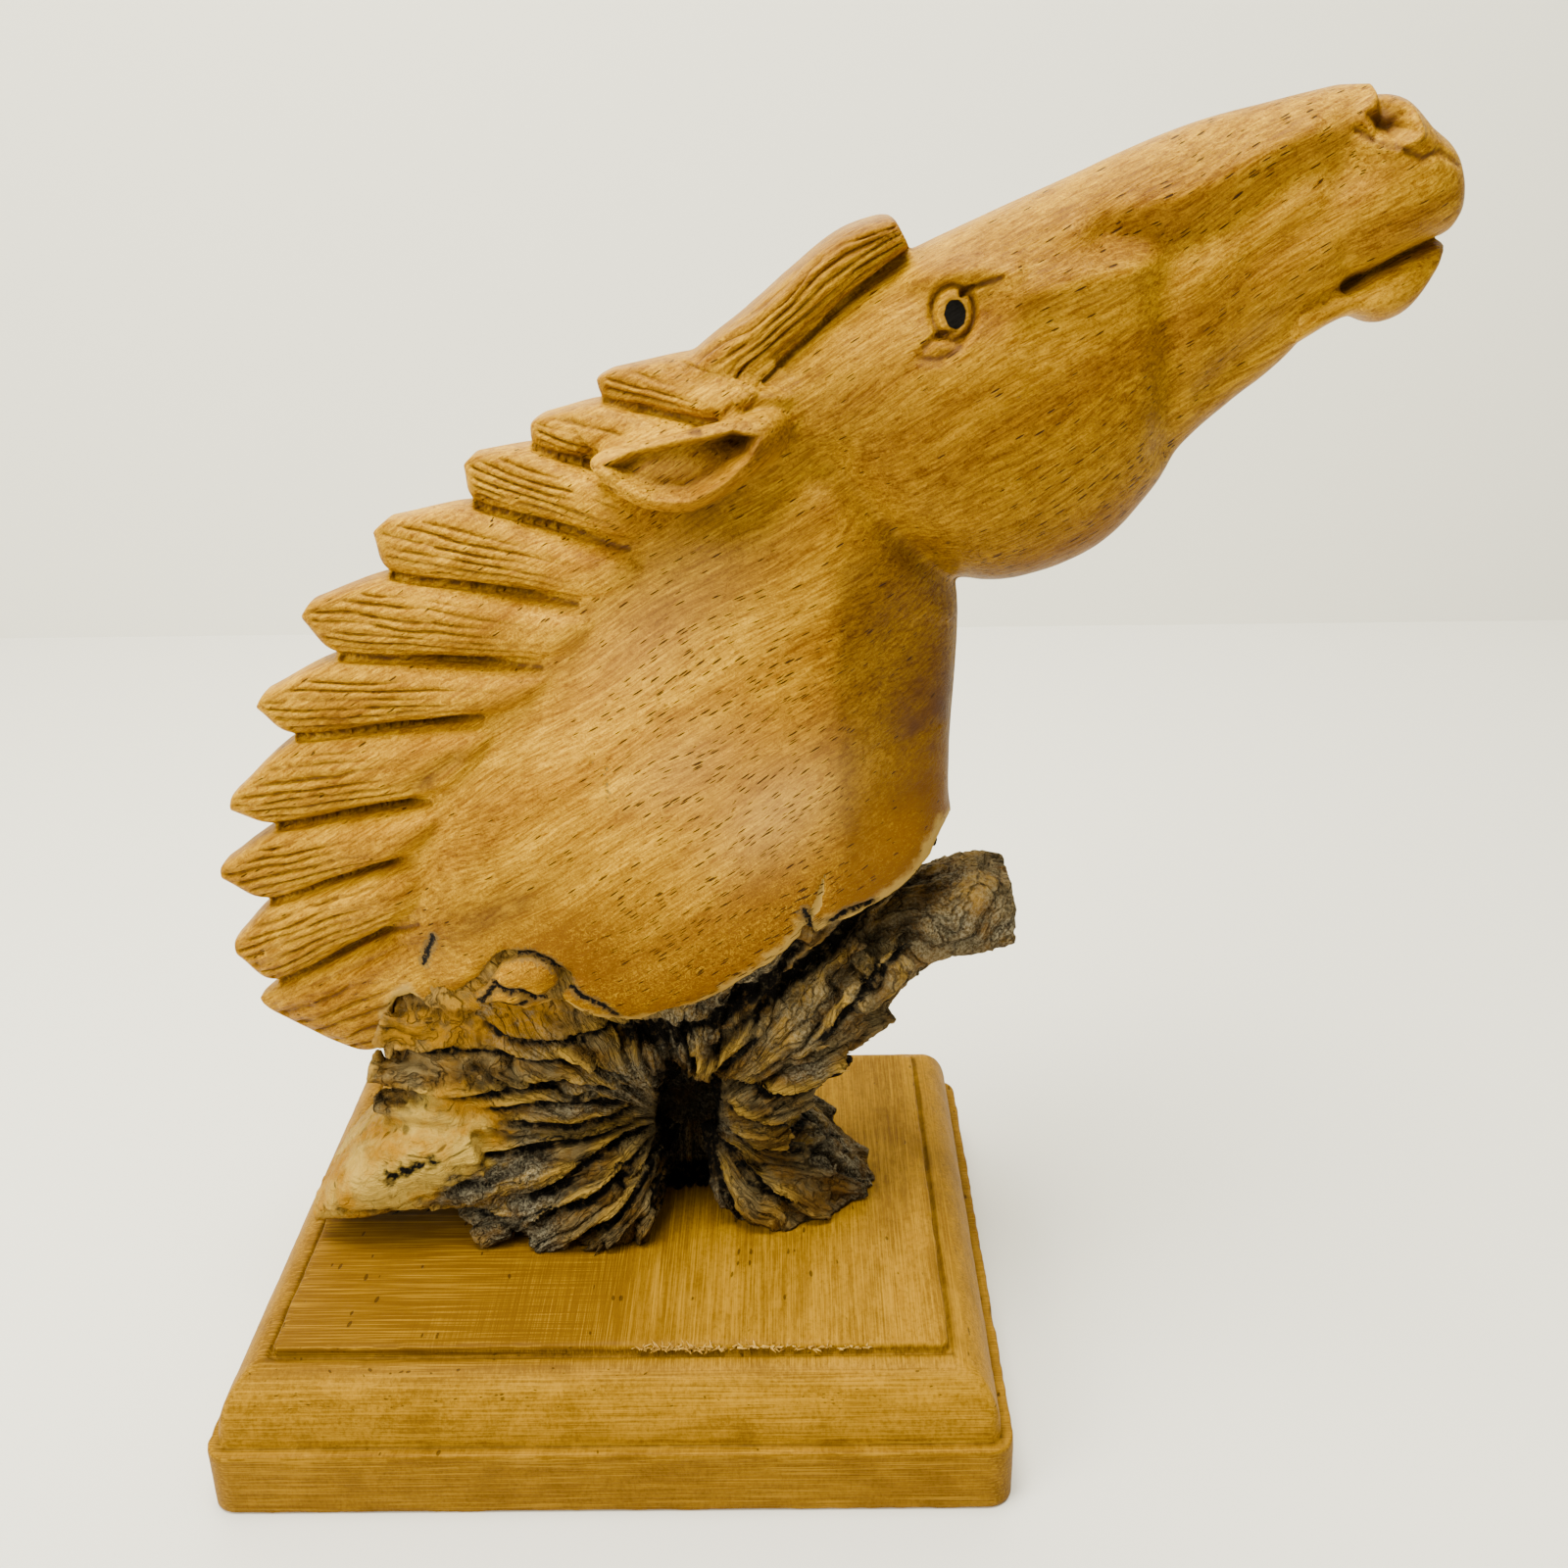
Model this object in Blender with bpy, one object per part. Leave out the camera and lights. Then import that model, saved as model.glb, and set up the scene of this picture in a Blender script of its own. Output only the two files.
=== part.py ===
"""Carved wooden horse head with a feathered mane, on a root foot, standing on a moulded plinth.

Metres, +Z up. The origin is the middle of the plinth's underside, +X is the side the muzzle
points to, and the carving is alike on both sides of the XZ plane.

The plinth is built from its own sizes. The carving is a free form: its points are hundredths of
its own height, measured from the middle of the plinth's top, so they keep their proportions.
"""

import math

import bmesh
import bpy
import numpy as np
from mathutils import Matrix

# Plinth
PLINTH_WIDTH = 0.180
PLINTH_DEPTH = 0.147
PLINTH_HEIGHT = 0.0345
FASCIA_HEIGHT = 0.0165
FILLET_WIDTH = 0.0028
OVOLO_WIDTH = 0.0098
OVOLO_HEIGHT = 0.0158
QUIRK_WIDTH = 0.0015
ARRIS = 0.0006
CORNER_RADIUS = 0.006
INNER_CORNER_RADIUS = 0.002
CORNER_STEPS = 6
OVOLO_STEPS = 8

# Carving
CARVING_HEIGHT = 0.258
SEAT_GAP = 0.0003
VOXELS_HIGH = 161
SMOOTH_FACTOR = 0.5
SMOOTH_PASSES = 4
CARVING_TRIANGLES = 8600

# How finely each kind of mass is lofted: rings along it, points around it
MASS_STEPS = (28, 28)
LOCK_STEPS = (20, 20)
EAR_STEPS = (18, 20)
FLUTE_STEPS = (16, 12)

# Base colour and roughness of the two woods
CARVED_WOOD = ((0.55, 0.27, 0.06), 0.42)
PLINTH_WOOD = ((0.50, 0.28, 0.08), 0.55)

# One share is a hundredth of the carving's height
SHARE = CARVING_HEIGHT / 100
VOXEL = CARVING_HEIGHT / VOXELS_HIGH

# Stations of the carved masses. Each is (x, z of the upper edge, x, z of the lower edge,
# half thickness, height of the widest line from -1 to 1, squareness), in shares.
SKULL = [
    (58.6, 99.4, 59.4, 84.6, 4.8, 0.10, 2.4),
    (56.3, 99.0, 58.0, 82.0, 5.6, 0.10, 2.4),
    (53.0, 98.4, 55.6, 79.2, 5.4, 0.15, 2.4),
    (48.0, 97.2, 51.6, 75.8, 5.8, 0.20, 2.3),
    (43.0, 95.4, 48.2, 72.6, 6.8, 0.15, 2.3),
    (37.5, 93.0, 46.0, 69.0, 8.0, 0.05, 2.3),
    (32.5, 90.9, 41.8, 64.6, 8.8, 0.00, 2.4),
    (27.5, 88.7, 35.6, 62.1, 9.2, 0.05, 2.4),
    (22.0, 86.4, 29.2, 61.8, 8.8, 0.05, 2.3),
    (15.0, 82.0, 23.0, 63.0, 7.6, 0.00, 2.2),
]
UPPER_LIP = [
    (55.6, 98.8, 56.8, 87.0, 5.4, 0.1, 2.4),
    (59.8, 99.6, 60.6, 86.2, 6.0, 0.1, 2.4),
    (62.8, 98.2, 63.4, 87.6, 6.1, 0.0, 2.4),
    (65.0, 96.3, 65.7, 88.8, 5.4, 0.0, 2.4),
    (66.8, 94.5, 67.1, 89.4, 4.2, 0.0, 2.3),
    (68.0, 92.0, 68.0, 90.5, 2.0, 0.0, 2.0),
]
LOWER_LIP = [
    (56.0, 84.6, 56.0, 80.4, 4.6, 0.0, 2.2),
    (59.6, 85.4, 60.0, 82.7, 4.4, 0.0, 2.2),
    (62.4, 86.5, 62.6, 82.2, 4.5, 0.0, 2.3),
    (65.0, 87.6, 64.7, 83.0, 4.0, 0.0, 2.3),
    (66.7, 88.2, 66.2, 85.2, 3.1, 0.0, 2.2),
    (67.6, 88.3, 67.3, 87.2, 1.4, 0.0, 2.0),
]
NECK = [
    (29.5, 66.0, 13.0, 83.0, 7.6, 0.1, 2.2),
    (30.6, 60.0, 3.0, 74.0, 8.2, 0.1, 2.2),
    (30.6, 54.0, -5.0, 64.5, 8.8, 0.1, 2.3),
    (30.3, 48.0, -11.5, 54.0, 9.8, 0.1, 2.4),
    (30.3, 42.6, -17.0, 45.0, 10.8, 0.0, 2.5),
    (30.6, 38.6, -20.0, 36.0, 11.3, 0.0, 2.6),
    (28.0, 34.8, -20.5, 28.5, 11.2, 0.0, 2.7),
    (21.0, 29.0, -17.0, 24.0, 10.2, 0.0, 2.6),
    (12.0, 24.0, -9.0, 21.5, 7.6, 0.0, 2.4),
]
FORELOCK = [
    (4.5, 77.0, 10.0, 71.0, 4.6, 0.2, 2.2),
    (9.8, 80.8, 14.5, 76.0, 5.4, 0.2, 2.4),
    (15.7, 85.1, 19.5, 80.0, 5.6, 0.2, 2.4),
    (20.6, 88.9, 23.6, 84.2, 5.0, 0.2, 2.4),
    (24.2, 90.0, 26.0, 86.8, 3.6, 0.2, 2.4),
    (25.8, 89.2, 26.5, 88.0, 2.2, 0.0, 2.2),
]

# Mane locks from the lowest to the highest: tip (x, z), and then the ends of the valley
# below each lock, at the mane's edge and at the neck.
LOCK_TIPS = [(-33.4, 21.2), (-35.6, 27.4), (-35.8, 35.2), (-33.9, 42.0), (-30.0, 51.6),
             (-25.0, 59.7), (-17.8, 66.9), (-9.9, 72.3), (-4.1, 75.5), (1.6, 79.0)]
NOTCHES = [(-23.5, 16.2), (-31.6, 23.9), (-31.3, 32.4), (-29.6, 39.9), (-26.8, 48.4), (-22.1, 55.7),
           (-17.0, 62.8), (-9.4, 68.7), (-4.3, 73.4), (1.7, 77.0), (9.3, 80.6)]
VALLEY_ENDS = [(-14.0, 22.0), (-16.5, 33.0), (-19.0, 38.0), (-14.7, 44.0), (-9.6, 51.6), (-4.2, 56.2),
               (-1.0, 61.5), (3.5, 66.0), (3.0, 71.5), (9.7, 75.8), (15.0, 79.0)]
LOCK_ROOT_THICKNESS = 8.0
LOCK_NOTCH_THICKNESS = 3.4
LOCK_TIP_THICKNESS = 1.3
LOCK_CREST = 0.45
LOCK_SQUARENESS = 2.0
BURIED_LENGTH = 5.0
BURIED_THICKNESS = 6.4
TIP_SPREAD = 0.10

# Ears: stations along the leaf, with the distance of their middle from the XZ plane
EAR = [
    (18.5, 77.4, 17.5, 72.4, 2.2, 7.0),
    (14.2, 76.2, 13.6, 71.6, 2.8, 8.6),
    (9.5, 75.2, 9.0, 69.4, 3.5, 8.7),
    (5.0, 74.4, 5.0, 69.8, 3.4, 8.3),
    (2.0, 73.9, 2.2, 71.6, 2.8, 7.9),
    (0.9, 73.3, 1.0, 72.7, 1.4, 8.2),
]

# Root: the two masses beside the cavity, the wedge over it, the wall behind it and the sawn stub
ROOT_LEFT = [
    (2.0, 27.0, -20.0, 28.0, 8.8, 0.0, 2.6),
    (3.0, 20.0, -22.5, 18.5, 8.6, 0.0, 2.6),
    (3.2, 13.5, -22.5, 12.0, 8.2, 0.0, 2.6),
    (3.0, 7.0, -23.0, 7.0, 8.8, 0.0, 2.8),
    (3.0, 3.0, -19.0, 3.0, 9.4, 0.0, 2.8),
    (3.2, -1.5, -15.0, -1.5, 9.4, 0.0, 2.8),
]
ROOT_RIGHT = [
    (25.0, 33.0, 8.0, 28.0, 7.6, 0.0, 2.6),
    (21.0, 24.0, 8.4, 20.0, 7.2, 0.0, 2.6),
    (15.4, 15.5, 9.0, 13.5, 6.4, 0.0, 2.4),
    (14.4, 10.0, 9.2, 8.4, 6.2, 0.0, 2.0),
    (19.4, 6.2, 9.4, 3.8, 6.8, 0.0, 1.7),
    (25.4, -1.5, 9.6, -1.5, 7.0, 0.0, 1.6),
]
WEDGE = [
    (15.0, 32.0, -4.0, 30.0, 9.0, 0.0, 2.4),
    (12.0, 24.0, 0.0, 23.5, 8.8, 0.0, 2.4),
    (8.6, 17.6, 3.4, 17.4, 7.4, 0.0, 2.2),
    (6.8, 14.8, 5.0, 14.8, 5.0, 0.0, 2.0),
]
ROOT_BACK = [
    (20.0, 28.0, -14.0, 26.0, 5.2, 0.0, 3.0),
    (13.0, 12.0, -16.0, 12.0, 4.6, 0.0, 3.0),
    (18.0, -1.5, -16.0, -1.5, 5.4, 0.0, 3.0),
]
ROOT_BACK_OFFSET = 3.8
STUB = [
    (12.0, 25.0, 14.0, 12.5, 5.6, 0.0, 2.6),
    (20.0, 29.5, 22.0, 17.6, 6.4, 0.0, 2.6),
    (27.6, 33.0, 28.4, 25.4, 5.6, 0.0, 3.0),
    (32.8, 34.6, 33.2, 27.0, 5.2, 0.0, 3.6),
    (36.2, 34.2, 36.4, 27.8, 4.8, 0.0, 3.8),
]

# Flutes of root bark: they start on the rim of the cavity and run out to these places.
# Each is (x, z of the far end, girth, how far it stands out), in shares.
HUB = (6.0, 10.5)
HUB_RADIUS = 3.2
FLUTE_SEAT = 7.6
FLUTE_SINK = (2.4, 0.0, 1.0)
FLUTE_RISE = (0.0, 0.6, 0.9)
FLUTE_TAPER = (0.5, 1.0, 0.8)
FLUTE_FLATNESS = 0.8
FLUTES = [
    (-15.5, 26.4, 2.4, 1.0), (-21.5, 22.0, 2.2, 0.4), (-22.6, 18.0, 1.8, 1.2), (-23.0, 14.2, 1.9, 0.6),
    (-22.4, 10.8, 2.0, 0.0), (-25.0, 6.4, 2.6, 0.6), (-18.0, 4.4, 2.0, 1.9), (-14.0, 1.0, 2.2, 3.2),
    (-8.6, -0.4, 2.1, 4.0), (-3.6, -0.8, 2.0, 4.2), (0.2, -0.8, 1.5, 3.2),
    (12.4, -1.0, 1.5, 0.0), (15.6, -0.6, 1.6, 0.6), (19.2, 0.0, 1.7, -0.4), (23.4, 0.4, 1.8, -4.0),
    (20.4, 4.0, 1.6, -1.8), (15.8, 9.6, 1.5, 0.2),
    (17.8, 14.8, 1.8, 0.4), (21.2, 18.2, 1.9, 0.0), (24.8, 23.2, 2.2, -0.6), (26.6, 28.6, 2.0, 0.0),
    (22.0, 30.4, 1.8, -0.6), (15.5, 29.4, 2.0, 0.6), (10.0, 24.6, 1.8, 0.9), (1.0, 22.6, 1.8, 0.8),
    (-6.0, 25.4, 2.2, 0.8),
]

# Left flare: a tongue of smooth sapwood that hangs out over the plinth
FLARE = [
    (-14.0, 13.5, -10.0, 3.0, 7.4, 0.2, 2.4),
    (-21.5, 12.0, -18.0, 2.2, 7.8, 0.2, 2.4),
    (-26.4, 8.0, -24.6, 1.6, 7.0, 0.2, 2.6),
    (-29.6, 3.8, -29.2, 1.4, 5.4, 0.0, 2.6),
]
FLARE_OFFSET = -3.4

# Strokes of the gouge on both sides: a path of (x, z), its width, its depth. A depth below
# nothing leaves a ridge standing.
STROKE_FADE = 3.0
STROKES = [
    ("hollow beside the nose", [(40.5, 89.6), (46.0, 88.4), (52.0, 90.8), (57.2, 93.4)], 2.0, 0.9),
    ("front of the cheek", [(44.6, 86.0), (46.0, 79.5), (46.2, 73.6)], 1.5, 0.8),
    ("above the jaw bar", [(49.0, 77.6), (54.0, 81.8), (57.5, 84.6)], 1.2, 0.4),
    ("facial crest", [(34.0, 85.4), (38.5, 86.4), (43.4, 87.4)], 1.5, -0.7),
    ("nose ridge", [(38.0, 89.8), (46.0, 92.2), (55.0, 95.8)], 1.3, -0.35),
    ("behind the cheek", [(20.0, 72.5), (23.4, 68.2), (26.5, 65.6), (30.4, 62.2)], 1.5, 1.1),
    ("below the ear", [(5.0, 67.6), (12.0, 68.6), (18.0, 72.0)], 1.8, 0.8),
    ("temple", [(22.0, 83.0), (25.2, 85.4)], 1.8, 0.6),
    ("brow", [(25.8, 86.4), (29.0, 87.0), (32.8, 86.6)], 0.9, -0.6),
    ("eye socket", [(27.6, 83.8), (30.8, 84.2)], 1.9, 1.0),
    ("eyeball", [(28.8, 84.0), (29.4, 84.1)], 1.0, -0.9),
    ("nostril", [(58.6, 96.5), (60.6, 96.6)], 1.0, 2.0),
    ("flat below the nostril", [(58.2, 94.6), (62.4, 94.4)], 0.9, 0.4),
    ("cup of the ear", [(3.6, 72.8), (8.0, 72.6), (12.4, 73.8)], 1.2, 2.2),
    ("cleft over the stub", [(12.0, 22.6), (18.0, 27.4), (24.4, 32.2), (30.8, 36.4)], 1.2, 2.2),
    ("split in the live edge", [(2.0, 20.4), (9.0, 20.6), (14.6, 26.0)], 1.0, 0.9),
]


def shares(values):
    """Turn shares of the carving's height into metres."""
    return np.asarray(values, dtype=float) * SHARE


def through(rows, count):
    """Smooth rows of numbers: a Catmull-Rom curve through them, read at count places."""
    rows = np.asarray(rows, dtype=float)
    ends = np.vstack([2 * rows[0] - rows[1], rows, 2 * rows[-1] - rows[-2]])
    place = np.linspace(0, len(rows) - 1, count)
    first = np.minimum(place.astype(int), len(rows) - 2)
    t = (place - first)[:, None]
    a, b, c, d = ends[first], ends[first + 1], ends[first + 2], ends[first + 3]
    return 0.5 * (2 * b + (c - a) * t + (2 * a - 5 * b + 4 * c - d) * t ** 2
                  + (3 * b - a - 3 * c + d) * t ** 3)


def skin(bm, rings):
    """Bridge a list of rings of points into one closed body."""
    loops = [[bm.verts.new(point) for point in ring] for ring in rings]
    sides = len(loops[0])
    for here, there in zip(loops, loops[1:]):
        for i in range(sides):
            j = (i + 1) % sides
            bm.faces.new((here[i], here[j], there[j], there[i]))
    bm.faces.new(loops[0][::-1])
    bm.faces.new(loops[-1])


def add_mass(bm, stations, offset=0.0, steps=MASS_STEPS):
    """Loft a mass whose upper and lower edges lie in the XZ plane, moved by offset along Y."""
    rings, sides = steps
    angle = np.linspace(0, 2 * math.pi, sides, endpoint=False)
    body = []
    for x1, z1, x0, z0, half, crest, square in through(stations, rings):
        power = 2 / square
        up = np.sign(np.cos(angle)) * np.abs(np.cos(angle)) ** power
        out = np.sign(np.sin(angle)) * np.abs(np.sin(angle)) ** power
        height = np.where(up > 0, crest + up * (1 - crest), crest + up * (1 + crest))
        x = (x1 + x0) / 2 + height * (x1 - x0) / 2
        z = (z1 + z0) / 2 + height * (z1 - z0) / 2
        body.append(shares(np.stack([x, offset + out * half, z], axis=1)))
    skin(bm, body)


def add_flute(bm, path, girths):
    """Sweep a flute along a path of (x, y, z), in shares, with a girth at each point."""
    rings, sides = FLUTE_STEPS
    rows = np.hstack([np.asarray(path, dtype=float), np.asarray(girths, dtype=float)[:, None]])
    dense = through(rows, rings)
    line, girth = dense[:, :3], dense[:, 3]
    ahead = np.gradient(line, axis=0)
    ahead /= np.linalg.norm(ahead, axis=1)[:, None]
    across = np.cross(ahead, (0.0, 1.0, 0.0))
    across /= np.linalg.norm(across, axis=1)[:, None]
    lift = np.cross(across, ahead)
    angle = np.linspace(0, 2 * math.pi, sides, endpoint=False)
    body = []
    for point, a, b, g in zip(line, across, lift, girth):
        ring = point + g * (np.cos(angle)[:, None] * a + FLUTE_FLATNESS * np.sin(angle)[:, None] * b)
        body.append(shares(ring))
    skin(bm, body)


def add_mane(bm):
    """Add the overlapping locks along the crest of the neck."""
    for i, tip in enumerate(LOCK_TIPS):
        tip = np.array(tip)
        low, high = np.array(NOTCHES[i]), np.array(NOTCHES[i + 1])
        low_end, high_end = np.array(VALLEY_ENDS[i]), np.array(VALLEY_ENDS[i + 1])
        inward = (low_end + high_end) / 2 - tip
        inward /= np.linalg.norm(inward)
        buried = BURIED_LENGTH * inward
        spread = TIP_SPREAD * (high - low)
        midway = (LOCK_ROOT_THICKNESS + LOCK_NOTCH_THICKNESS) / 2
        edges = [
            (high_end + buried, low_end + buried, BURIED_THICKNESS),
            (high_end, low_end, LOCK_ROOT_THICKNESS),
            ((high + high_end) / 2, (low + low_end) / 2, midway),
            (high, low, LOCK_NOTCH_THICKNESS),
            (tip + spread, tip - spread, LOCK_TIP_THICKNESS),
        ]
        stations = [(*upper, *lower, half, LOCK_CREST, LOCK_SQUARENESS) for upper, lower, half in edges]
        add_mass(bm, stations, steps=LOCK_STEPS)


def add_ears(bm):
    """Add the two ears, laid back along the mane."""
    rings, sides = EAR_STEPS
    angle = np.linspace(0, 2 * math.pi, sides, endpoint=False)
    for side in (-1, 1):
        body = []
        for x1, z1, x0, z0, half, middle in through(EAR, rings):
            up = np.cos(angle)
            x = (x1 + x0) / 2 + up * (x1 - x0) / 2
            z = (z1 + z0) / 2 + up * (z1 - z0) / 2
            y = side * (middle + half * np.sin(angle))
            body.append(shares(np.stack([x, y, z], axis=1)))
        skin(bm, body)


def add_root(bm):
    """Add the root foot: its masses, the sawn stub, the flare and the flutes around the cavity."""
    add_mass(bm, ROOT_LEFT)
    add_mass(bm, ROOT_RIGHT)
    add_mass(bm, WEDGE)
    add_mass(bm, ROOT_BACK, ROOT_BACK_OFFSET)
    add_mass(bm, STUB)
    add_mass(bm, FLARE, FLARE_OFFSET)
    hub = np.array(HUB)
    for side in (-1, 1):
        for x, z, girth, proud in FLUTES:
            end = np.array((x, z))
            out = (end - hub) / np.linalg.norm(end - hub)
            start = hub + HUB_RADIUS * out
            places = (start, (start + end) / 2, end)
            path = [(place[0], side * (FLUTE_SEAT - sink + rise * proud), place[1])
                    for place, sink, rise in zip(places, FLUTE_SINK, FLUTE_RISE)]
            add_flute(bm, path, [girth * taper for taper in FLUTE_TAPER])


def fused(name, bm):
    """Fuse the overlapping bodies in bm into one closed skin and return its mesh."""
    bmesh.ops.recalc_face_normals(bm, faces=bm.faces)
    mesh = bpy.data.meshes.new(name)
    bm.to_mesh(mesh)
    bm.free()
    draft = bpy.data.objects.new(name, mesh)
    bpy.context.collection.objects.link(draft)
    remesh = draft.modifiers.new("fuse", "REMESH")
    remesh.mode = "VOXEL"
    remesh.voxel_size = VOXEL
    smooth = draft.modifiers.new("smooth", "SMOOTH")
    smooth.factor = SMOOTH_FACTOR
    smooth.iterations = SMOOTH_PASSES
    graph = bpy.context.evaluated_depsgraph_get()
    result = bpy.data.meshes.new_from_object(draft.evaluated_get(graph))
    bpy.data.objects.remove(draft)
    bpy.data.meshes.remove(mesh)
    return result


def distance_to(path, x, z):
    """Distance in shares of the places (x, z) from a path."""
    nearest = np.full(len(x), np.inf)
    for (x0, z0), (x1, z1) in zip(path, path[1:]):
        run = np.array((x1 - x0, z1 - z0))
        along = np.clip(((x - x0) * run[0] + (z - z0) * run[1]) / (run @ run), 0, 1)
        gap = np.hypot(x - x0 - along * run[0], z - z0 - along * run[1])
        nearest = np.minimum(nearest, gap)
    return nearest


def carve(mesh):
    """Cut the strokes of the gouge into the two sides of a mesh."""
    count = len(mesh.vertices)
    points = np.empty(count * 3)
    mesh.vertices.foreach_get("co", points)
    points = points.reshape(-1, 3)
    x, y, z = (points / SHARE).T
    cut = np.zeros(count)
    for _, path, width, depth in STROKES:
        cut += depth * np.exp(-(distance_to(path, x, z) / width) ** 2)
    turned_away = np.clip(np.abs(y) / STROKE_FADE, 0, 1)
    points[:, 1] -= np.sign(y) * cut * turned_away * SHARE
    mesh.vertices.foreach_set("co", points.ravel())
    mesh.update()


def wood(name, colour, roughness):
    """Make a plain wood material."""
    material = bpy.data.materials.new(name)
    material.use_nodes = True
    surface = material.node_tree.nodes["Principled BSDF"]
    surface.inputs["Base Color"].default_value = (*colour, 1.0)
    surface.inputs["Roughness"].default_value = roughness
    surface.inputs["Metallic"].default_value = 0.0
    return material


def seat_cutter():
    """Make the block that saws the root flat, just above the plinth's top."""
    bm = bmesh.new()
    bmesh.ops.create_cube(bm, size=1.0)
    wide, deep = 2 * CARVING_HEIGHT, CARVING_HEIGHT
    bmesh.ops.scale(bm, vec=(wide, wide, deep), verts=bm.verts)
    bmesh.ops.translate(bm, vec=(0, 0, PLINTH_HEIGHT + SEAT_GAP - deep / 2), verts=bm.verts)
    mesh = bpy.data.meshes.new("seat_cutter")
    bm.to_mesh(mesh)
    bm.free()
    cutter = bpy.data.objects.new("seat_cutter", mesh)
    bpy.context.collection.objects.link(cutter)
    cutter.hide_render = True
    cutter.display_type = "WIRE"
    return cutter


def build_carving():
    """Build the head, neck, mane and root as one piece of wood."""
    bm = bmesh.new()
    for stations in (SKULL, UPPER_LIP, LOWER_LIP, NECK, FORELOCK):
        add_mass(bm, stations)
    add_mane(bm)
    add_ears(bm)
    add_root(bm)
    mesh = fused("horse_head", bm)
    carve(mesh)
    lift = PLINTH_HEIGHT + SEAT_GAP
    mesh.transform(Matrix.Translation((0.0, 0.0, lift)))
    carving = bpy.data.objects.new("horse_head", mesh)
    bpy.context.collection.objects.link(carving)
    facet = carving.modifiers.new("facet", "DECIMATE")
    mesh.calc_loop_triangles()
    facet.ratio = CARVING_TRIANGLES / len(mesh.loop_triangles)
    saw = carving.modifiers.new("flat foot", "BOOLEAN")
    saw.object = seat_cutter()
    saw.operation = "DIFFERENCE"
    carving.data.materials.append(wood("carved_wood", *CARVED_WOOD))
    return carving


def moulding():
    """Return the plinth's edge from the floor up, as (distance in from the fascia, height)."""
    inner = FILLET_WIDTH + OVOLO_WIDTH
    edge = inner + QUIRK_WIDTH
    spring = FASCIA_HEIGHT + OVOLO_HEIGHT
    profile = [
        (ARRIS, 0.0),
        (0.0, ARRIS),
        (0.0, FASCIA_HEIGHT - ARRIS),
        (ARRIS, FASCIA_HEIGHT),
        (FILLET_WIDTH, FASCIA_HEIGHT),
    ]
    for i in range(1, OVOLO_STEPS + 1):
        turn = math.pi / 2 * i / OVOLO_STEPS
        profile.append((inner - OVOLO_WIDTH * math.cos(turn), FASCIA_HEIGHT + OVOLO_HEIGHT * math.sin(turn)))
    profile.append((edge, spring))
    profile.append((edge, PLINTH_HEIGHT - ARRIS))
    profile.append((edge + ARRIS, PLINTH_HEIGHT))
    return profile


def build_plinth():
    """Build the moulded board."""
    bm = bmesh.new()
    rings = []
    for inset, z in moulding():
        radius = max(CORNER_RADIUS - inset, INNER_CORNER_RADIUS)
        middle_x = PLINTH_WIDTH / 2 - inset - radius
        middle_y = PLINTH_DEPTH / 2 - inset - radius
        ring = []
        for quarter, (side_x, side_y) in enumerate(((1, 1), (-1, 1), (-1, -1), (1, -1))):
            for i in range(CORNER_STEPS + 1):
                turn = (quarter + i / CORNER_STEPS) * math.pi / 2
                ring.append((side_x * middle_x + radius * math.cos(turn),
                             side_y * middle_y + radius * math.sin(turn), z))
        rings.append(ring)
    skin(bm, rings)
    bmesh.ops.recalc_face_normals(bm, faces=bm.faces)
    mesh = bpy.data.meshes.new("plinth")
    bm.to_mesh(mesh)
    bm.free()
    plinth = bpy.data.objects.new("plinth", mesh)
    bpy.context.collection.objects.link(plinth)
    plinth.data.materials.append(wood("plinth_wood", *PLINTH_WOOD))
    return plinth


for old in list(bpy.data.objects):
    bpy.data.objects.remove(old)
build_plinth()
build_carving()
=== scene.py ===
"""Looks of a carved wooden horse head with a feathered mane, standing on a moulded plinth.

Metres, +Z up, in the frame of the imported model. Points of the carving are shares: hundredths of its
own height, x from the middle of the plinth and z from the plinth's top. Its two sides are carved
alike. The polished head, neck and mane end at a ragged live edge and the weathered root goes on
below it, so the one piece of wood is made as two meshes that overlap out of sight.
"""

import logging
import math
from dataclasses import dataclass
from enum import Enum

import bmesh
import bpy
import numpy as np
from mathutils import Matrix, Vector


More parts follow.
